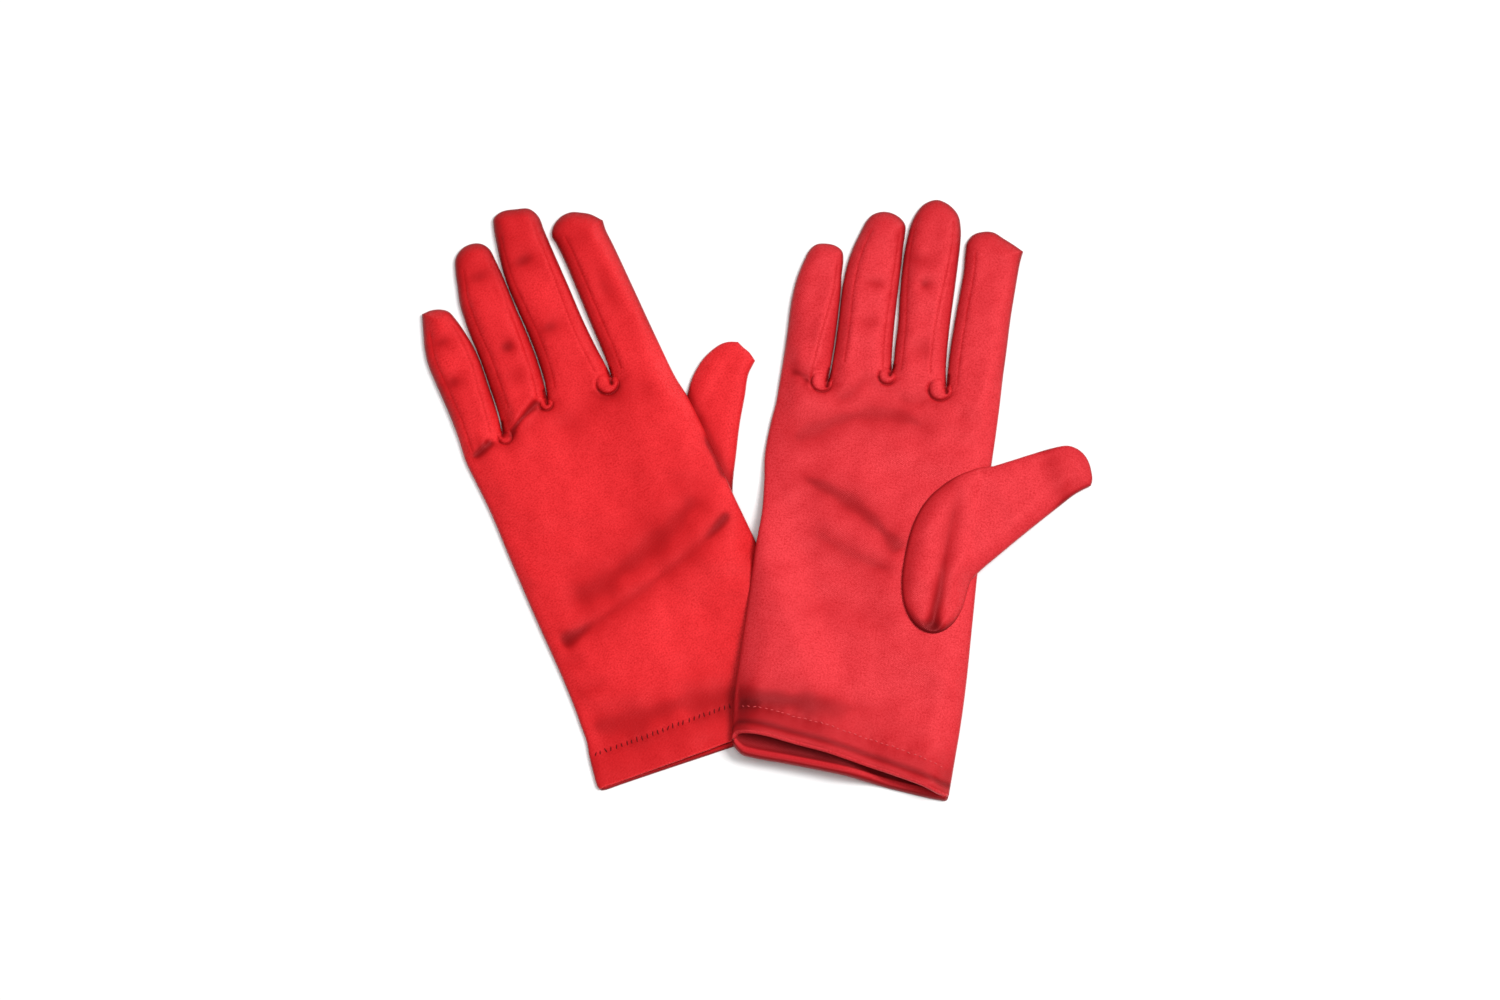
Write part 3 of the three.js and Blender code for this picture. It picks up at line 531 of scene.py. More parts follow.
def triangulate(loop, extra_lines, step, rings, dense_lines=(), fine_from=None):
    """A flat triangle mesh inside a closed loop, whose points come first.

    extra_lines are kept as edges. rings are the distances inside the loop at which rows of points lie,
    dense_lines are seams with rows of points along them, and above fine_from the grid is finer."""
    loop = arr(loop)
    nxt = np.roll(loop, -1, 0)
    tangent = nxt - np.roll(loop, 1, 0)
    tangent /= np.maximum(np.hypot(*tangent.T), 1e-9)[:, None]
    area = 0.5 * np.sum(loop[:, 0] * nxt[:, 1] - nxt[:, 0] * loop[:, 1])
    normal = np.stack([-tangent[:, 1], tangent[:, 0]], 1) * (1 if area > 0 else -1)
    points = []
    closed = np.vstack([loop, loop[:1]])
    for k, off in enumerate(rings):
        ring = loop + normal * off
        if k % 2:
            ring = (ring + np.roll(ring, -1, 0)) / 2
        if k >= 3:
            ring = ring[::2]
        ring = ring[inside(ring, loop)]
        points.append(ring[distance(ring, closed) > 0.86 * off])
    for line in dense_lines:
        t = np.gradient(line, axis=0)
        t /= np.maximum(np.hypot(*t.T), 1e-9)[:, None]
        n = np.stack([-t[:, 1], t[:, 0]], 1)
        for off in (0, -0.3, 0.3, -0.7, 0.7):
            points.append(line + n * off)
    low, high = loop.min(0), loop.max(0)
    grid = hexes(low, high, step)
    if fine_from is not None:
        fine = hexes((low[0], fine_from), high, step * 0.72)
        grid = np.vstack([grid[grid[:, 1] < fine_from - step * 0.4], fine])
    grid = grid[inside(grid, loop)]
    grid = grid[distance(grid, closed) > rings[-1] + 0.35 * step]
    for line in extra_lines:
        grid = grid[distance(grid, line) > 0.4 * step]
    fixed = np.vstack(points)
    fixed = fixed[inside(fixed, loop)]
    fixed = fixed[distance(fixed, closed) > 0.07]
    for line in extra_lines:
        fixed = fixed[distance(fixed, line) > 0.16]
    # thin out: a point is dropped where another is already in its cell
    key = np.round(fixed / 0.2).astype(int)
    _, first = np.unique(key, axis=0, return_index=True)
    fixed = fixed[np.sort(first)]
    for line in dense_lines:
        grid = grid[distance(grid, line) > 0.95]
    inner = [line[1:-1] for line in extra_lines]
    verts = np.vstack([loop] + inner + [fixed, grid])
    n = len(loop)
    edges = [(i, (i + 1) % n) for i in range(n)]
    at = n
    for line, mids in zip(extra_lines, inner):
        a = int(np.hypot(*(loop - line[0]).T).argmin())
        b = int(np.hypot(*(loop - line[-1]).T).argmin())
        chain = [a] + list(range(at, at + len(mids))) + [b]
        edges += list(zip(chain, chain[1:]))
        at += len(mids)
    coords = [Vector(p) for p in verts.tolist()]
    out, _, faces, origin, _, _ = geometry.delaunay_2d_cdt(coords, edges, [list(range(n))], 1, 1e-6, True)
    new = np.array([v[:] for v in out])
    where = np.full(len(out), -1)
    for i, src in enumerate(origin):
        if src:
            where[i] = min(src)
    # the loop's points first, in their own order
    rank = np.where(where >= 0, where, len(verts) + np.arange(len(out)))
    order = np.argsort(rank, kind="stable")
    back = np.empty(len(order), int)
    back[order] = np.arange(len(order))
    new = new[order]
    tri = back[np.array([f for f in faces if len(f) == 3])]
    a, b, c = new[tri[:, 0]], new[tri[:, 1]], new[tri[:, 2]]
    cross = (b[:, 0] - a[:, 0]) * (c[:, 1] - a[:, 1]) - (b[:, 1] - a[:, 1]) * (c[:, 0] - a[:, 0])
    tri[cross < 0] = tri[cross < 0][:, ::-1]
    tri = tri[np.abs(cross) > 1e-9]
    tri = tri[inside(new[tri].mean(1), loop)]
    return new, tri


def cut_line(glove, name, outline):
    """The finger's fold line, from one point of the outline to another, which are moved onto it."""
    root, axis, across, _ = finger_frame(glove, name)
    edge = glove["finger_outlines"][FINGERS.index(name)]
    s, a = (edge - root) @ axis, (edge - root) @ across
    ends = []
    for side in (a < 0, a > 0):
        j = np.where(side, np.abs(s), 1e9).argmin()
        k = int(np.hypot(*(outline - edge[j]).T).argmin())
        outline[k] = root + across * ((outline[k] - root) @ across)
        ends.append(outline[k].copy())
    return resample(ends, 0.7), root, axis


def mesh_object(name, verts, faces, material, uv=None, seam=None, shade=None, normals=None):
    mesh = bpy.data.meshes.new(name)
    mesh.from_pydata([tuple(v) for v in verts], [], [tuple(int(i) for i in f) for f in faces])
    mesh.shade_smooth()
    if uv is not None:
        layer = mesh.uv_layers.new(name="cloth")
        loops = np.empty(len(mesh.loops), int)
        mesh.loops.foreach_get("vertex_index", loops)
        layer.data.foreach_set("uv", np.asarray(uv, np.float32)[loops].ravel())
    for key, values in (("seam", seam), ("shade", shade)):
        if values is not None:
            attribute = mesh.attributes.new(key, "FLOAT", "POINT")
            attribute.data.foreach_set("value", np.asarray(values, np.float32))
    mesh.materials.append(material)
    if normals is not None:
        mesh.normals_split_custom_set_from_vertices([tuple(n) for n in normals])
    obj = bpy.data.objects.new(name, mesh)
    bpy.context.collection.objects.link(obj)
    return obj


def vertex_normals(V, F):
    a, b, c = (V[F[:, k]] for k in range(3))
    n = np.cross(b - a, c - a)
    size = np.linalg.norm(n, axis=1, keepdims=True)
    unit = n / np.maximum(size, 1e-12)
    out = np.zeros_like(V)
    corners = [(a, b, c), (b, c, a), (c, a, b)]
    for k, (p, q, r) in enumerate(corners):
        u, w = q - p, r - p
        cos = (u * w).sum(1) / np.maximum(np.linalg.norm(u, axis=1) * np.linalg.norm(w, axis=1), 1e-12)
        angle = np.arccos(np.clip(cos, -1, 1))
        np.add.at(out, F[:, k], unit * angle[:, None])
    return out / np.maximum(np.linalg.norm(out, axis=1, keepdims=True), 1e-12)


# ---- materials
def new_material(name):
    material = bpy.data.materials.new(name)
    material.use_nodes = True
    return material, material.node_tree, material.node_tree.nodes["Principled BSDF"]


def configure(made, **values):
    """Set a node's inputs, given as in_The_Name, and its other properties."""
    for key, value in values.items():
        if key.startswith("in_"):
            made.inputs[key[3:].replace("_", " ")].default_value = value
        else:
            setattr(made, key, value)
    return made


def node(tree, kind, **values):
    return configure(tree.nodes.new(kind), **values)


def multiply_add(tree, value, by, plus, **more):
    """The output value * by + plus, where plus is a number or another output."""
    made = node(tree, "ShaderNodeMath", operation="MULTIPLY_ADD", **more)
    tree.links.new(value, made.inputs[0])
    made.inputs[1].default_value = by
    if isinstance(plus, float):
        made.inputs[2].default_value = plus
    else:
        tree.links.new(plus, made.inputs[2])
    return made.outputs[0]


def satin(name, colour, dark):
    """Stretch satin: fine weave, faint mottling, a soft sheen, darker along the seams, and darker still where
    shade is painted in through the shade attribute.
    """
    material, tree, shader = new_material(name)
    link = tree.links.new
    uv = node(tree, "ShaderNodeUVMap", uv_map="cloth")
    seam = node(tree, "ShaderNodeAttribute", attribute_name="seam")
    mottle = node(tree, "ShaderNodeTexNoise", in_Scale=26.0, in_Detail=3.0)
    grain = node(tree, "ShaderNodeTexNoise", in_Scale=150.0, in_Detail=2.0)
    weave = node(tree, "ShaderNodeTexWave", in_Scale=95.0, in_Distortion=1.2, in_Detail=1.0)
    weave.bands_direction = "DIAGONAL"
    for tex in (mottle, grain, weave):
        link(uv.outputs["UV"], tex.inputs["Vector"])
    # 1 on the seam, 0 from 0.75 mm away
    crease = node(tree, "ShaderNodeMapRange", in_From_Min=0.75, in_From_Max=0.0)
    crease.interpolation_type = "SMOOTHSTEP"
    link(seam.outputs["Fac"], crease.inputs["Value"])
    cloth = node(tree, "ShaderNodeMix", data_type="RGBA")
    cloth.inputs[6].default_value = (*colour, 1)
    cloth.inputs[7].default_value = (*dark, 1)
    mottled = multiply_add(tree, mottle.outputs["Fac"], 0.7, -1.35)
    grained = multiply_add(tree, grain.outputs["Fac"], 2.6, mottled)
    darkness = multiply_add(tree, crease.outputs["Result"], 0.5, grained, use_clamp=True)
    link(darkness, cloth.inputs[0])
    # painted shade: the shade attribute darkens the cloth in creases, hollows, slits, along its turned-down
    # sides, under it and into the cuff's mouth
    painted_shade_attribute = node(tree, "ShaderNodeAttribute", attribute_name="shade")
    tone = cloth
    for start, end, deeper in ((0.0, 0.62, (0.85, 0.7, 0.75)), (0.38, 1.05, (0.24, 0.2, 0.22))):
        span = node(tree, "ShaderNodeMapRange", in_From_Min=start, in_From_Max=end)
        link(painted_shade_attribute.outputs["Fac"], span.inputs["Value"])
        mixed = node(tree, "ShaderNodeMix", data_type="RGBA")
        mixed.inputs[7].default_value = (*[k * c for k, c in zip(deeper, dark)], 1)
        link(tone.outputs[2], mixed.inputs[6])
        link(span.outputs["Result"], mixed.inputs[0])
        tone = mixed
    link(tone.outputs[2], shader.inputs["Base Color"])
    link(multiply_add(tree, grain.outputs["Fac"], 0.16, 0.34), shader.inputs["Roughness"])
    height = multiply_add(tree, grain.outputs["Fac"], 0.8, weave.outputs["Fac"])
    bumped = node(tree, "ShaderNodeBump", in_Strength=0.6, in_Distance=0.00012)
    link(height, bumped.inputs["Height"])
    link(bumped.outputs["Normal"], shader.inputs["Normal"])
    gloss = (1.0, 0.16, 0.18, 1)
    configure(
        shader, in_Metallic=0.0, in_Specular_IOR_Level=0.7, in_Specular_Tint=gloss,
        in_Sheen_Weight=0.1, in_Sheen_Roughness=0.35, in_Sheen_Tint=gloss,
    )
    return material


def plain(name, colour, roughness):
    """A matt thread, finely mottled."""
    material, tree, shader = new_material(name)
    coords = node(tree, "ShaderNodeTexCoord")
    noise = node(tree, "ShaderNodeTexNoise", in_Scale=900.0, in_Detail=2.0)
    tree.links.new(coords.outputs["Object"], noise.inputs["Vector"])
    mix = node(tree, "ShaderNodeMix", data_type="RGBA")
    mix.inputs[6].default_value = (*colour, 1)
    mix.inputs[7].default_value = (*[0.6 * c for c in colour], 1)
    tree.links.new(noise.outputs["Fac"], mix.inputs[0])
    tree.links.new(mix.outputs[2], shader.inputs["Base Color"])
    bumped = node(tree, "ShaderNodeBump", in_Strength=0.4, in_Distance=0.0001)
    tree.links.new(noise.outputs["Fac"], bumped.inputs["Height"])
    tree.links.new(bumped.outputs["Normal"], shader.inputs["Normal"])
    configure(shader, in_Roughness=roughness, in_Specular_IOR_Level=0.15)
    return material


# the same satin in two tones, painted light: the right glove pinker and the left deeper red, for how the
# light falls on each
SATIN_LEFT_PAINTED_LIGHT = satin("satin_left_painted_light", (0.76, 0.024, 0.029), (0.52, 0.006, 0.008))
SATIN_RIGHT_PAINTED_LIGHT = satin("satin_right_painted_light", (0.69, 0.037, 0.047), (0.48, 0.009, 0.013))
THREAD_DARK = plain("thread_dark", (0.14, 0.002, 0.004), 0.7)
THREAD_LIGHT = plain("thread_light", (0.86, 0.10, 0.11), 0.6)


# ---- building a glove
def cuff_rim(glove):
    """The hem's rolled lip all round the cuff, and the turned-in layer behind it."""
    top, low = glove["top_cuff"], glove["low_cuff"]
    ring = np.vstack([top, low[1:-1][::-1]])
    is_top = np.arange(len(ring)) < len(top)

    def heights(points):
        """How high the upper or lower sheet is, or the fold where the two meet."""
        z = np.where(is_top, upper(glove, points)[0], lower(glove, points))
        corners = [0, len(top) - 1]
        z[corners] = lift_of(glove, points[corners]) + EDGE
        return z

    z = heights(ring)
    n = len(ring)
    # the way inwards, in the plane across the cuff
    prv, nxt = np.roll(np.arange(n), 1), np.roll(np.arange(n), -1)
    tx, tz = ring[nxt, 0] - ring[prv, 0], z[nxt] - z[prv]
    size = np.maximum(np.hypot(tx, tz), 1e-9)
    nx, nz = tz / size, -tx / size
    for _ in range(3):
        nx = (nx + nx[prv] + nx[nxt]) / 3
        nz = (nz + nz[prv] + nz[nxt]) / 3
    size = np.maximum(np.hypot(nx, nz), 1e-9)
    nx, nz = nx / size, nz / size
    lip = LIP[glove["name"]]
    rows = [np.stack([ring[:, 0], ring[:, 1], z], 1)]
    # the upper layer rolls over a round lip; the lower one slopes up and back to its lip, then turns in
    bevel = 1.35 * lip * (~is_top)
    for turn in np.radians([30, 60, 90, 120, 150, 180]):
        out, into = lip * math.sin(turn), lip * (1 - math.cos(turn))
        back = -out * is_top + (bevel * (1 - math.cos(turn))) * (~is_top)
        rise = np.where(is_top, into, 2.0 * lip * math.sin(min(turn, math.radians(115))) ** 0.9)
        rise = np.where(is_top, rise, np.where(turn > math.radians(130), 1.55 * lip, rise))
        rows.append(np.stack([ring[:, 0] + nx * rise, ring[:, 1] + back, z + nz * rise], 1))
    for depth in FACING_ROWS:
        deeper = ring + [0, depth]
        into = np.where(is_top, 2 * lip, 1.1 * lip)
        narrow = 1 - 0.005 * depth  # the turned-in layer stays inside the glove's sides
        x = (ring[:, 0] + nx * into) * narrow
        rows.append(np.stack([x, deeper[:, 1] + 2 * bevel, heights(deeper) + nz * into], 1))
    V = np.vstack(rows)
    F = []
    for r in range(len(rows) - 1):
        for i in range(n):
            j = (i + 1) % n
            F.append((r * n + i, (r + 1) * n + i, (r + 1) * n + j))
            F.append((r * n + i, (r + 1) * n + j, r * n + j))
    F = np.array(F)
    normals = vertex_normals(V, F)
    if normals[3 * n : 4 * n, 1].mean() > 0:
        F = F[:, ::-1]
    uv = V[:, :2] / UV_SIZE
    # painted light and shade: the lip is painted lightest on top, and painted shade darkens the cloth into
    # the mouth, a little less at the right glove's left end
    depth = np.repeat(np.arange(len(rows)), n)
    under = np.tile(~is_top, len(rows))
    lower_lip_painted_shade = 0.8 * (depth < 3) + 0.55 * (depth == 3) + 0.35 * (depth > 3)
    shade = np.where(under, lower_lip_painted_shade, 0.05 + 0.35 * (depth > 4))
    shade = np.where(depth > 6, 0.6 + 0.4 * smooth(depth, 6, 8), shade)
    left_end = 1 - smooth(V[:, 0], -36, -12) if glove["name"] == "right" else 0
    shade = np.where((depth > 6) & under, 1 - 0.2 * left_end * (depth < 10), shade)
    seam = np.full(len(V), NO_SEAM)
    return mesh_object(f"{glove['name']}_hem", place(glove, V), F, glove["satin"], uv, seam, shade)


def rotate_normals(glove, N):
    c, s = math.cos(glove["turn"]), math.sin(glove["turn"])
    return np.stack([c * N[:, 0] - s * N[:, 1], s * N[:, 0] + c * N[:, 1], N[:, 2]], 1)


def join_sheets(TP, tz, TF, LP, lz, LF, m):
    """A closed shell from an upper and a lower sheet, which share the m points of their edge."""
    V = np.vstack([np.column_stack([TP, tz]), np.column_stack([LP, lz])[m:]])
    remap = np.concatenate([np.arange(m), len(TP) + np.arange(len(LP) - m)])
    return V, np.vstack([TF, remap[LF][:, ::-1]])


def split(glove, names, part, V, F, uv, seam, shade):
    """Cut a shell along its fold lines into objects that keep the whole shell's smooth shading.

    part says for each face which of the names it belongs to."""
    world, normals = place(glove, V), rotate_normals(glove, vertex_normals(V, F))
    made = {}
    for i, name in enumerate(names):
        pick = F[part == i]
        used = np.unique(pick)
        back = np.full(len(V), -1)
        back[used] = np.arange(len(used))
        made[name] = mesh_object(
            f"{glove['name']}_{name}_cloth", world[used], back[pick], glove["satin"],
            uv[used], seam[used], shade[used], normals[used],
        )
    return made


def build_glove(glove):
    """The hand and the four fingers as one shell, split where the fingers fold, and the hem."""
    prepare(glove)
    side = glove["side"]
    lines, roots = [], {}
    for name in FINGERS:
        line, root, axis = cut_line(glove, name, side)
        lines.append(line)
        roots[name] = (root, axis)
    m = len(side)
    top_loop = np.vstack([side, glove["top_cuff"][::-1][1:-1]])
    low_loop = np.vstack([side, glove["low_cuff"][::-1][1:-1]])
    TP, TF = triangulate(top_loop, lines, UPPER_STEP, EDGE_ROWS, glove["seam_lines"], FINGERS_FROM)
    LP, LF = triangulate(low_loop, lines, LOWER_STEP, [0.25, 0.8, 1.8])
    tz, seam, shade = upper(glove, TP)
    lz = lower(glove, LP)
    tz[:m] = lz[:m] = lift_of(glove, TP[:m]) + EDGE
    V, F = join_sheets(TP, tz, TF, LP, lz, LF, m)
    seam = np.concatenate([seam, np.full(len(LP) - m, NO_SEAM)])
    seam[:m] = np.maximum(seam[:m], 1.0)
    # the lower sheet, underneath, gets an even painted shade
    shade = np.concatenate([shade, np.full(len(LP) - m, 0.3)])
    centre = V[F].mean(1)[:, :2]
    part = np.zeros(len(F), int)
    for i, name in enumerate(FINGERS):
        root, axis = roots[name]
        part[((centre - root) @ axis > 0) & inside(centre, glove["finger_outlines"][i])] = i + 1
    uv = V[:, :2] / UV_SIZE + (0.0 if glove["name"] == "left" else 3.1)
    made = split(glove, ("hand",) + FINGERS, part, V, F, uv, seam, shade)
    hand = f"{glove['name']}_hand"
    for name in FINGERS:
        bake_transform(made[name])
    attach(made["hand"], hand)
    rim = cuff_rim(glove)
    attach(rim, hand)
    return made, rim


def stitches(glove, material, every, size, tilt, name):
    """A row of stitches along the hem."""
    top = glove["top_cuff"]
    line = resample(top, every)[2:-2]
    line = line + [0, glove["stitch_at"]]
    line = line[distance(line, glove["side"]) > 1.9]
    z = upper(glove, line)[0]
    V, F = [], []
    r = np.random.default_rng(3)
    around = np.linspace(0, 2 * math.pi, 6, endpoint=False)  # each stitch is a six-sided spindle
    for (x, y), zz in zip(line, z):
        length, thick = size[0] * r.uniform(0.8, 1.15), size[1]
        turn = tilt + r.normal(0, 0.16)
        ax = np.array([math.cos(turn), math.sin(turn), 0])
        side = np.array([-ax[1], ax[0], 0])
        base = len(V)
        jitter = r.normal(0, 0.12, 2)
        for t, w in ((-1, 0.15), (-0.72, 0.75), (0, 1), (0.72, 0.75), (1, 0.15)):
            for angle in around:
                p = ax * t * length / 2 + side * math.cos(angle) * thick * w
                p[2] = thick * (math.sin(angle) * w + 1.1 - 0.9 * t * t)
                V.append((x + jitter[0] + p[0], y + jitter[1] + p[1], zz + p[2]))
        for k in range(4):
            low, high = base + k * 6, base + k * 6 + 6
            for i in range(6):
                j = (i + 1) % 6
                F.append((low + i, low + j, high + j, high + i))
        F.append(tuple(base + i for i in reversed(range(6))))
        F.append(tuple(base + 24 + i for i in range(6)))
    obj = mesh_object(name, place(glove, arr(V)), F, material)
    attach(obj, f"{glove['name']}_hand")
    return obj


# ---- thumbs
RIGHT_THUMB = dict(
    runs=[
        # the oval seam, from the palm's side at the top round to its lower right
        [(44.2, 122.6), (40, 121.6), (35.3, 119.2), (30.8, 116.6), (26.6, 113.3), (22, 108.4),
         (18.6, 102.8), (16.2, 96), (14.8, 88), (14.2, 80), (14.3, 73), (15.4, 66.5), (17.6, 61),
         (20.6, 57), (24.2, 54.6), (28.4, 53.9), (32.2, 55.2), (35.4, 58.2), (37.8, 62.6), (39.2, 67.4),
         (39.9, 72.4), (40.6, 76.4)],
        [(40.6, 76.4), (43.9, 81), (50.6, 88.4), (60.6, 99.2), (70.6, 109.6), (77.4, 116.4), (82.8, 120.2)],
        [(82.8, 120.2), (83.1, 122.6), (82.3, 126.2), (81, 129.4), (78.7, 132.4), (75.6, 134.3),
         (72, 134.9), (66.5, 133.2), (57, 128.8), (50.5, 125.6), (44.2, 122.6)],
    ],
    crease=[(33.5, 116), (32, 110.5), (30.9, 101), (29.8, 85), (29.0, 69), (28.0, 57.5)],
)
LEFT_THUMB = dict(
    runs=[
        [(50, 131.9), (44, 122), (36, 110), (30, 98), (26, 86), (28, 74), (36, 72), (44, 79), (49.4, 87.2)],
        [(49.4, 87.2), (51.9, 92.6), (57.8, 102.6), (64.1, 113.1), (70.6, 122.6), (75.2, 129.6),
         (79.9, 133.6)],
        [(79.9, 133.6), (79.2, 137.6), (77.9, 140.4), (76.9, 143.2)],
        [(76.9, 143.2), (73.8, 144.7), (70.8, 145.2), (67.1, 144.6), (63, 143.2), (59.7, 141.4),
         (54.4, 137.2), (50, 131.9)],
    ],
    crease=None,
)


def build_thumb(glove, thumb):
    """The thumb as one shell, split where it folds up off the hand."""
    right = glove["name"] == "right"
    loop = np.vstack([spline(run, OUTLINE_STEP)[:-1] for run in thumb["runs"]])
    cut_x = 49.0 if right else 54.0
    # the fold line runs across the thumb where it leaves the palm
    near = np.where(np.abs(loop[:, 0] - cut_x) < 0.6)[0]
    ends = []
    for group in (near[loop[near, 1] < 110], near[loop[near, 1] >= 110]):
        k = group[np.abs(loop[group, 0] - cut_x).argmin()]
        loop[k, 0] = cut_x
        ends.append(loop[k].copy())
    line = resample(ends, 0.8)
    dense = [spline(thumb["crease"], 0.6)] if thumb["crease"] else []
    TP, TF = triangulate(loop, [line], 1.0, EDGE_ROWS, dense)
    LP, LF = triangulate(loop, [line], 2.4, [0.25, 0.8])
    m = len(loop)
    closed = np.vstack([loop, loop[:1]])
    waves = [Waves(77 if right else 78, 18, 50), Waves(79, 6, 14)]
    edge = 0.8  # half the thickness of the thumb's folded edge

    def ground(P):
        """What the thumb lies on: the palm, and outside it the table."""
        if not right:
            return np.full(len(P), 0.05)
        x, y = P[:, 0], P[:, 1]
        on_palm = upper(glove, np.column_stack([np.minimum(x, 40.0), y]))[0]
        fall = 1 - smooth(x, 38, 66)
        return np.maximum(0.05, (on_palm - 0.5) * fall + 0.9 * smooth(x, 40, 60) * (1 - smooth(x, 60, 78)))

    def over(P):
        x, y = P[:, 0], P[:, 1]
        d = distance(P, closed)
        height, reach = (3.8 if right else 3.4), 8.0
        # painted shade where the thumb's cloth turns down at its edges
        shade = 0.30 * bell(d, 0.8) + 0.10 * bell(d, 2.6)
        crown = (height - 2 * edge) * (1 - (1 - np.clip(d / reach, 0, 1)) ** 2.2)
        z = edge + roll(d, edge) + crown
        z += smooth(d, 0.3, 5) * (0.3 * waves[0](P) + 0.08 * waves[1](P))
        if right:
            cd, along, side = to_line(P, spline(thumb["crease"], 1.0))
            sd = cd * side  # positive on the thumb's side
            ends = smooth(along, 2, 16)
            deep = 0.5 + 0.5 * smooth(y, 100, 62)
            z -= 1.1 * ends * deep * bell(sd, 2.6) * smooth(d, 0, 2.5)
            z += ends * 0.5 * bell(sd - 6.5, 4.0) * smooth(d, 0, 3)
            z += ends * 0.5 * bell(sd + 7.2, 4.8) * smooth(d, 0, 3)
            # painted shade in the crease, deeper towards its bottom, along the oval's bottom and left side,
            # and over the turned-down tip
            shade += ends * (0.45 + 0.3 * smooth(y, 90, 60)) * bell(sd, 2.8)
            shade += 0.45 * smooth(y, 66, 55) * bell(d, 3.0) * (x < 45)
            shade += 0.3 * bell(d - 1.5, 3.5) * (1 - smooth(x, 28, 34))
            shade += 0.3 * bell(x - 68 + 0.45 * (y - 124), 5.5) + 0.2 * smooth(x, 66, 80)
            # a gathered corner at the bottom of the crease
            r = np.hypot((x - 28.6) / 2.2, (y - 58.6) / 3.2)
            z -= 0.8 * np.exp(-(r**2)) * smooth(d, 0, 1.5)
            r = np.hypot((x - 31.6) / 2.0, (y - 59.6) / 2.6)
            z += 0.55 * np.exp(-(r**2)) * smooth(d, 0, 1.2)
            # the tip turns down
            z -= 0.8 * smooth(x + 0.25 * (y - 125), 62, 82) * smooth(d, 0.5, 4)
            z -= 0.5 * bell(x - 66 + 0.5 * (y - 120), 4.0) * smooth(d, 0.5, 5)
        else:
            z -= 0.4 * bell(y - 0.75 * (x - 64) - 132, 4.0) * smooth(d, 0.5, 5)
            # painted shadow of the palm's edge on the left thumb
            palm = distance(P, LEFT["side"])
            shade += 0.6 * bell(palm, 3.5)
        return np.maximum(z, 0.6) + ground(P), shade

    tz, shade = over(TP)
    # the lower sheet, underneath, gets an even painted shade
    shade = np.concatenate([np.clip(shade, 0, 1), np.full(len(LP) - len(loop), 0.4)])
    ld = distance(LP, closed)
    lz = ground(LP) + edge - roll(ld, edge)
    tz[:m] = lz[:m] = ground(loop) + edge
    V, F = join_sheets(TP, tz, TF, LP, lz, LF, m)
    seam = np.full(len(V), NO_SEAM)
    if right:
        on_oval = np.flatnonzero(TP[:, 0] < 43)
        seam[on_oval] = distance(TP[on_oval], closed) + 0.1
    free = V[F].mean(1)[:, 0] > cut_x
    uv = V[:, :2] / UV_SIZE + 5.3  # away from the palm's own stretch of cloth
    made = split(glove, ("thumb_base", "thumb"), free, V, F, uv, seam, shade)
    hand = f"{glove['name']}_hand"
    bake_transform(made["thumb"])
    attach(made["thumb_base"], hand)
    return made["thumb_base"], made["thumb"]


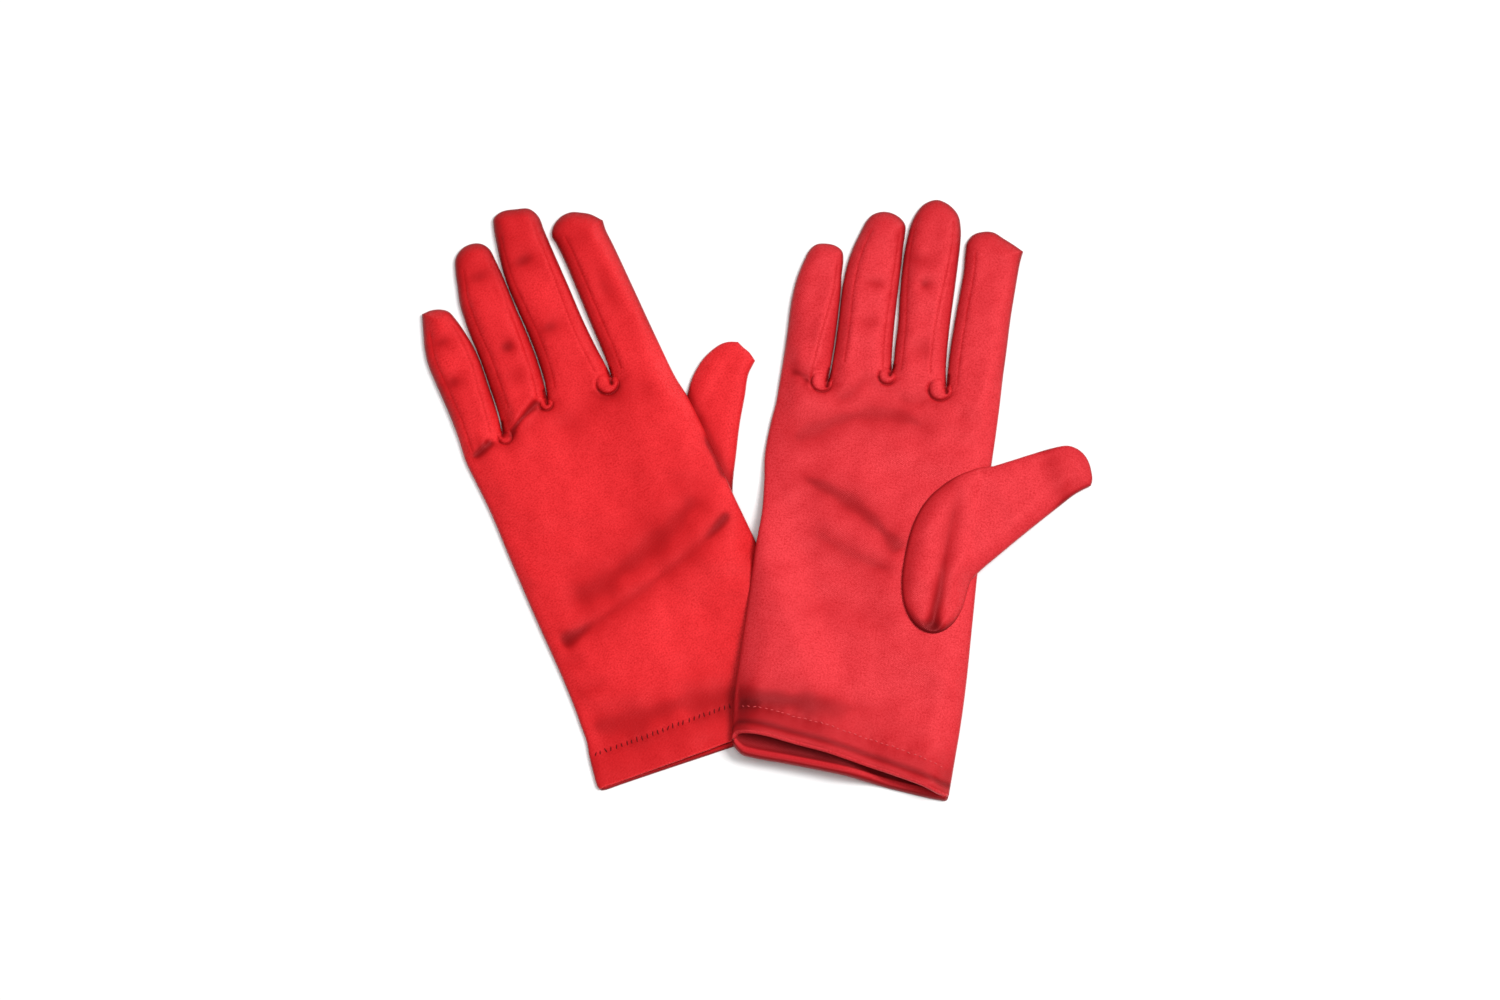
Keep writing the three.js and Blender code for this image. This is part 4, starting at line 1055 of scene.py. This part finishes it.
# ---- put it together
for glove, thumb in ((LEFT, LEFT_THUMB), (RIGHT, RIGHT_THUMB)):
    cloth, rim = build_glove(glove)
    base, free = build_thumb(glove, thumb)
    side = glove["name"]
    if side == "left":
        row = stitches(glove, THREAD_DARK, 2.1, (2.3, 0.2), math.radians(70), "left_hem_stitches")
    else:
        row = stitches(glove, THREAD_LIGHT, 2.2, (1.4, 0.17), math.radians(-10), "right_hem_stitches")
    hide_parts(f"{side}_trank", f"{side}_fork_base_little_ring",
                f"{side}_fork_base_ring_middle", f"{side}_fork_base_middle_index",
                f"{side}_side_seam", f"{side}_thumb_seam")
    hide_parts(f"{side}_hem_facing")
    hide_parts(f"{side}_hem_stitching")
    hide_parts(f"{side}_thumb_base")
    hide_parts(f"{side}_thumb")
    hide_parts(f"{side}_little_finger", f"{side}_little_fork_to_ring",
                f"{side}_little_side_seam")
    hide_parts(f"{side}_ring_finger", f"{side}_ring_fork_to_little",
                f"{side}_ring_fork_to_middle")
    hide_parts(f"{side}_middle_finger", f"{side}_middle_fork_to_ring",
                f"{side}_middle_fork_to_index")
    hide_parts(f"{side}_index_finger", f"{side}_index_fork_to_middle")

# ---- table, light, camera
scene = bpy.context.scene
floor_mesh = bpy.data.meshes.new("table_top")
table_z = -0.0002  # just under the cloth
corners = [(x, y, table_z) for x, y in ((-3, -3), (3, -3), (3, 3), (-3, 3))]
floor_mesh.from_pydata(corners, [], [(0, 1, 2, 3)])
floor = bpy.data.objects.new("table_top", floor_mesh)
scene.collection.objects.link(floor)
white, _, surface = new_material("table_white")
configure(surface, in_Base_Color=(0.88, 0.885, 0.885, 1), in_Roughness=0.9, in_Specular_IOR_Level=0.1)
floor_mesh.materials.append(white)

world = bpy.data.worlds.new("studio")
scene.world = world
world.use_nodes = True
configure(world.node_tree.nodes["Background"], in_Color=(1, 1, 1, 1), in_Strength=0.32)


def softbox(name, at, size, power):
    """A square lamp that faces the gloves."""
    light = bpy.data.lights.new(name, "AREA")
    light.shape = "RECTANGLE"
    light.size, light.size_y = size
    light.energy = power
    obj = bpy.data.objects.new(name, light)
    obj.location = at
    obj.rotation_euler = (-Vector(at)).to_track_quat("-Z", "Y").to_euler()
    scene.collection.objects.link(obj)


softbox("key", (1.45, 0.6, 2.3), (1.15, 1.15), 69)
softbox("fill", (-0.1, -0.1, 2.4), (2.0, 1.4), 19)

camera = bpy.data.cameras.new("camera")
camera.lens, camera.sensor_width = 110, 36
camera.clip_start, camera.clip_end = 0.05, 20
cam = bpy.data.objects.new("camera", camera)
centre = Vector((-0.0035, -0.0026, 0.003))
view_width = 0.585 / 1.007  # metres across the picture, where the gloves lie
away = view_width * camera.lens / camera.sensor_width
up = math.radians(78.3)  # the photo was taken from almost straight above
cam.location = centre + Vector((0, -math.cos(up) * away, math.sin(up) * away))
cam.rotation_euler = (centre - cam.location).to_track_quat("-Z", "Y").to_euler()
scene.collection.objects.link(cam)
scene.camera = cam
scene.view_settings.view_transform = "Standard"
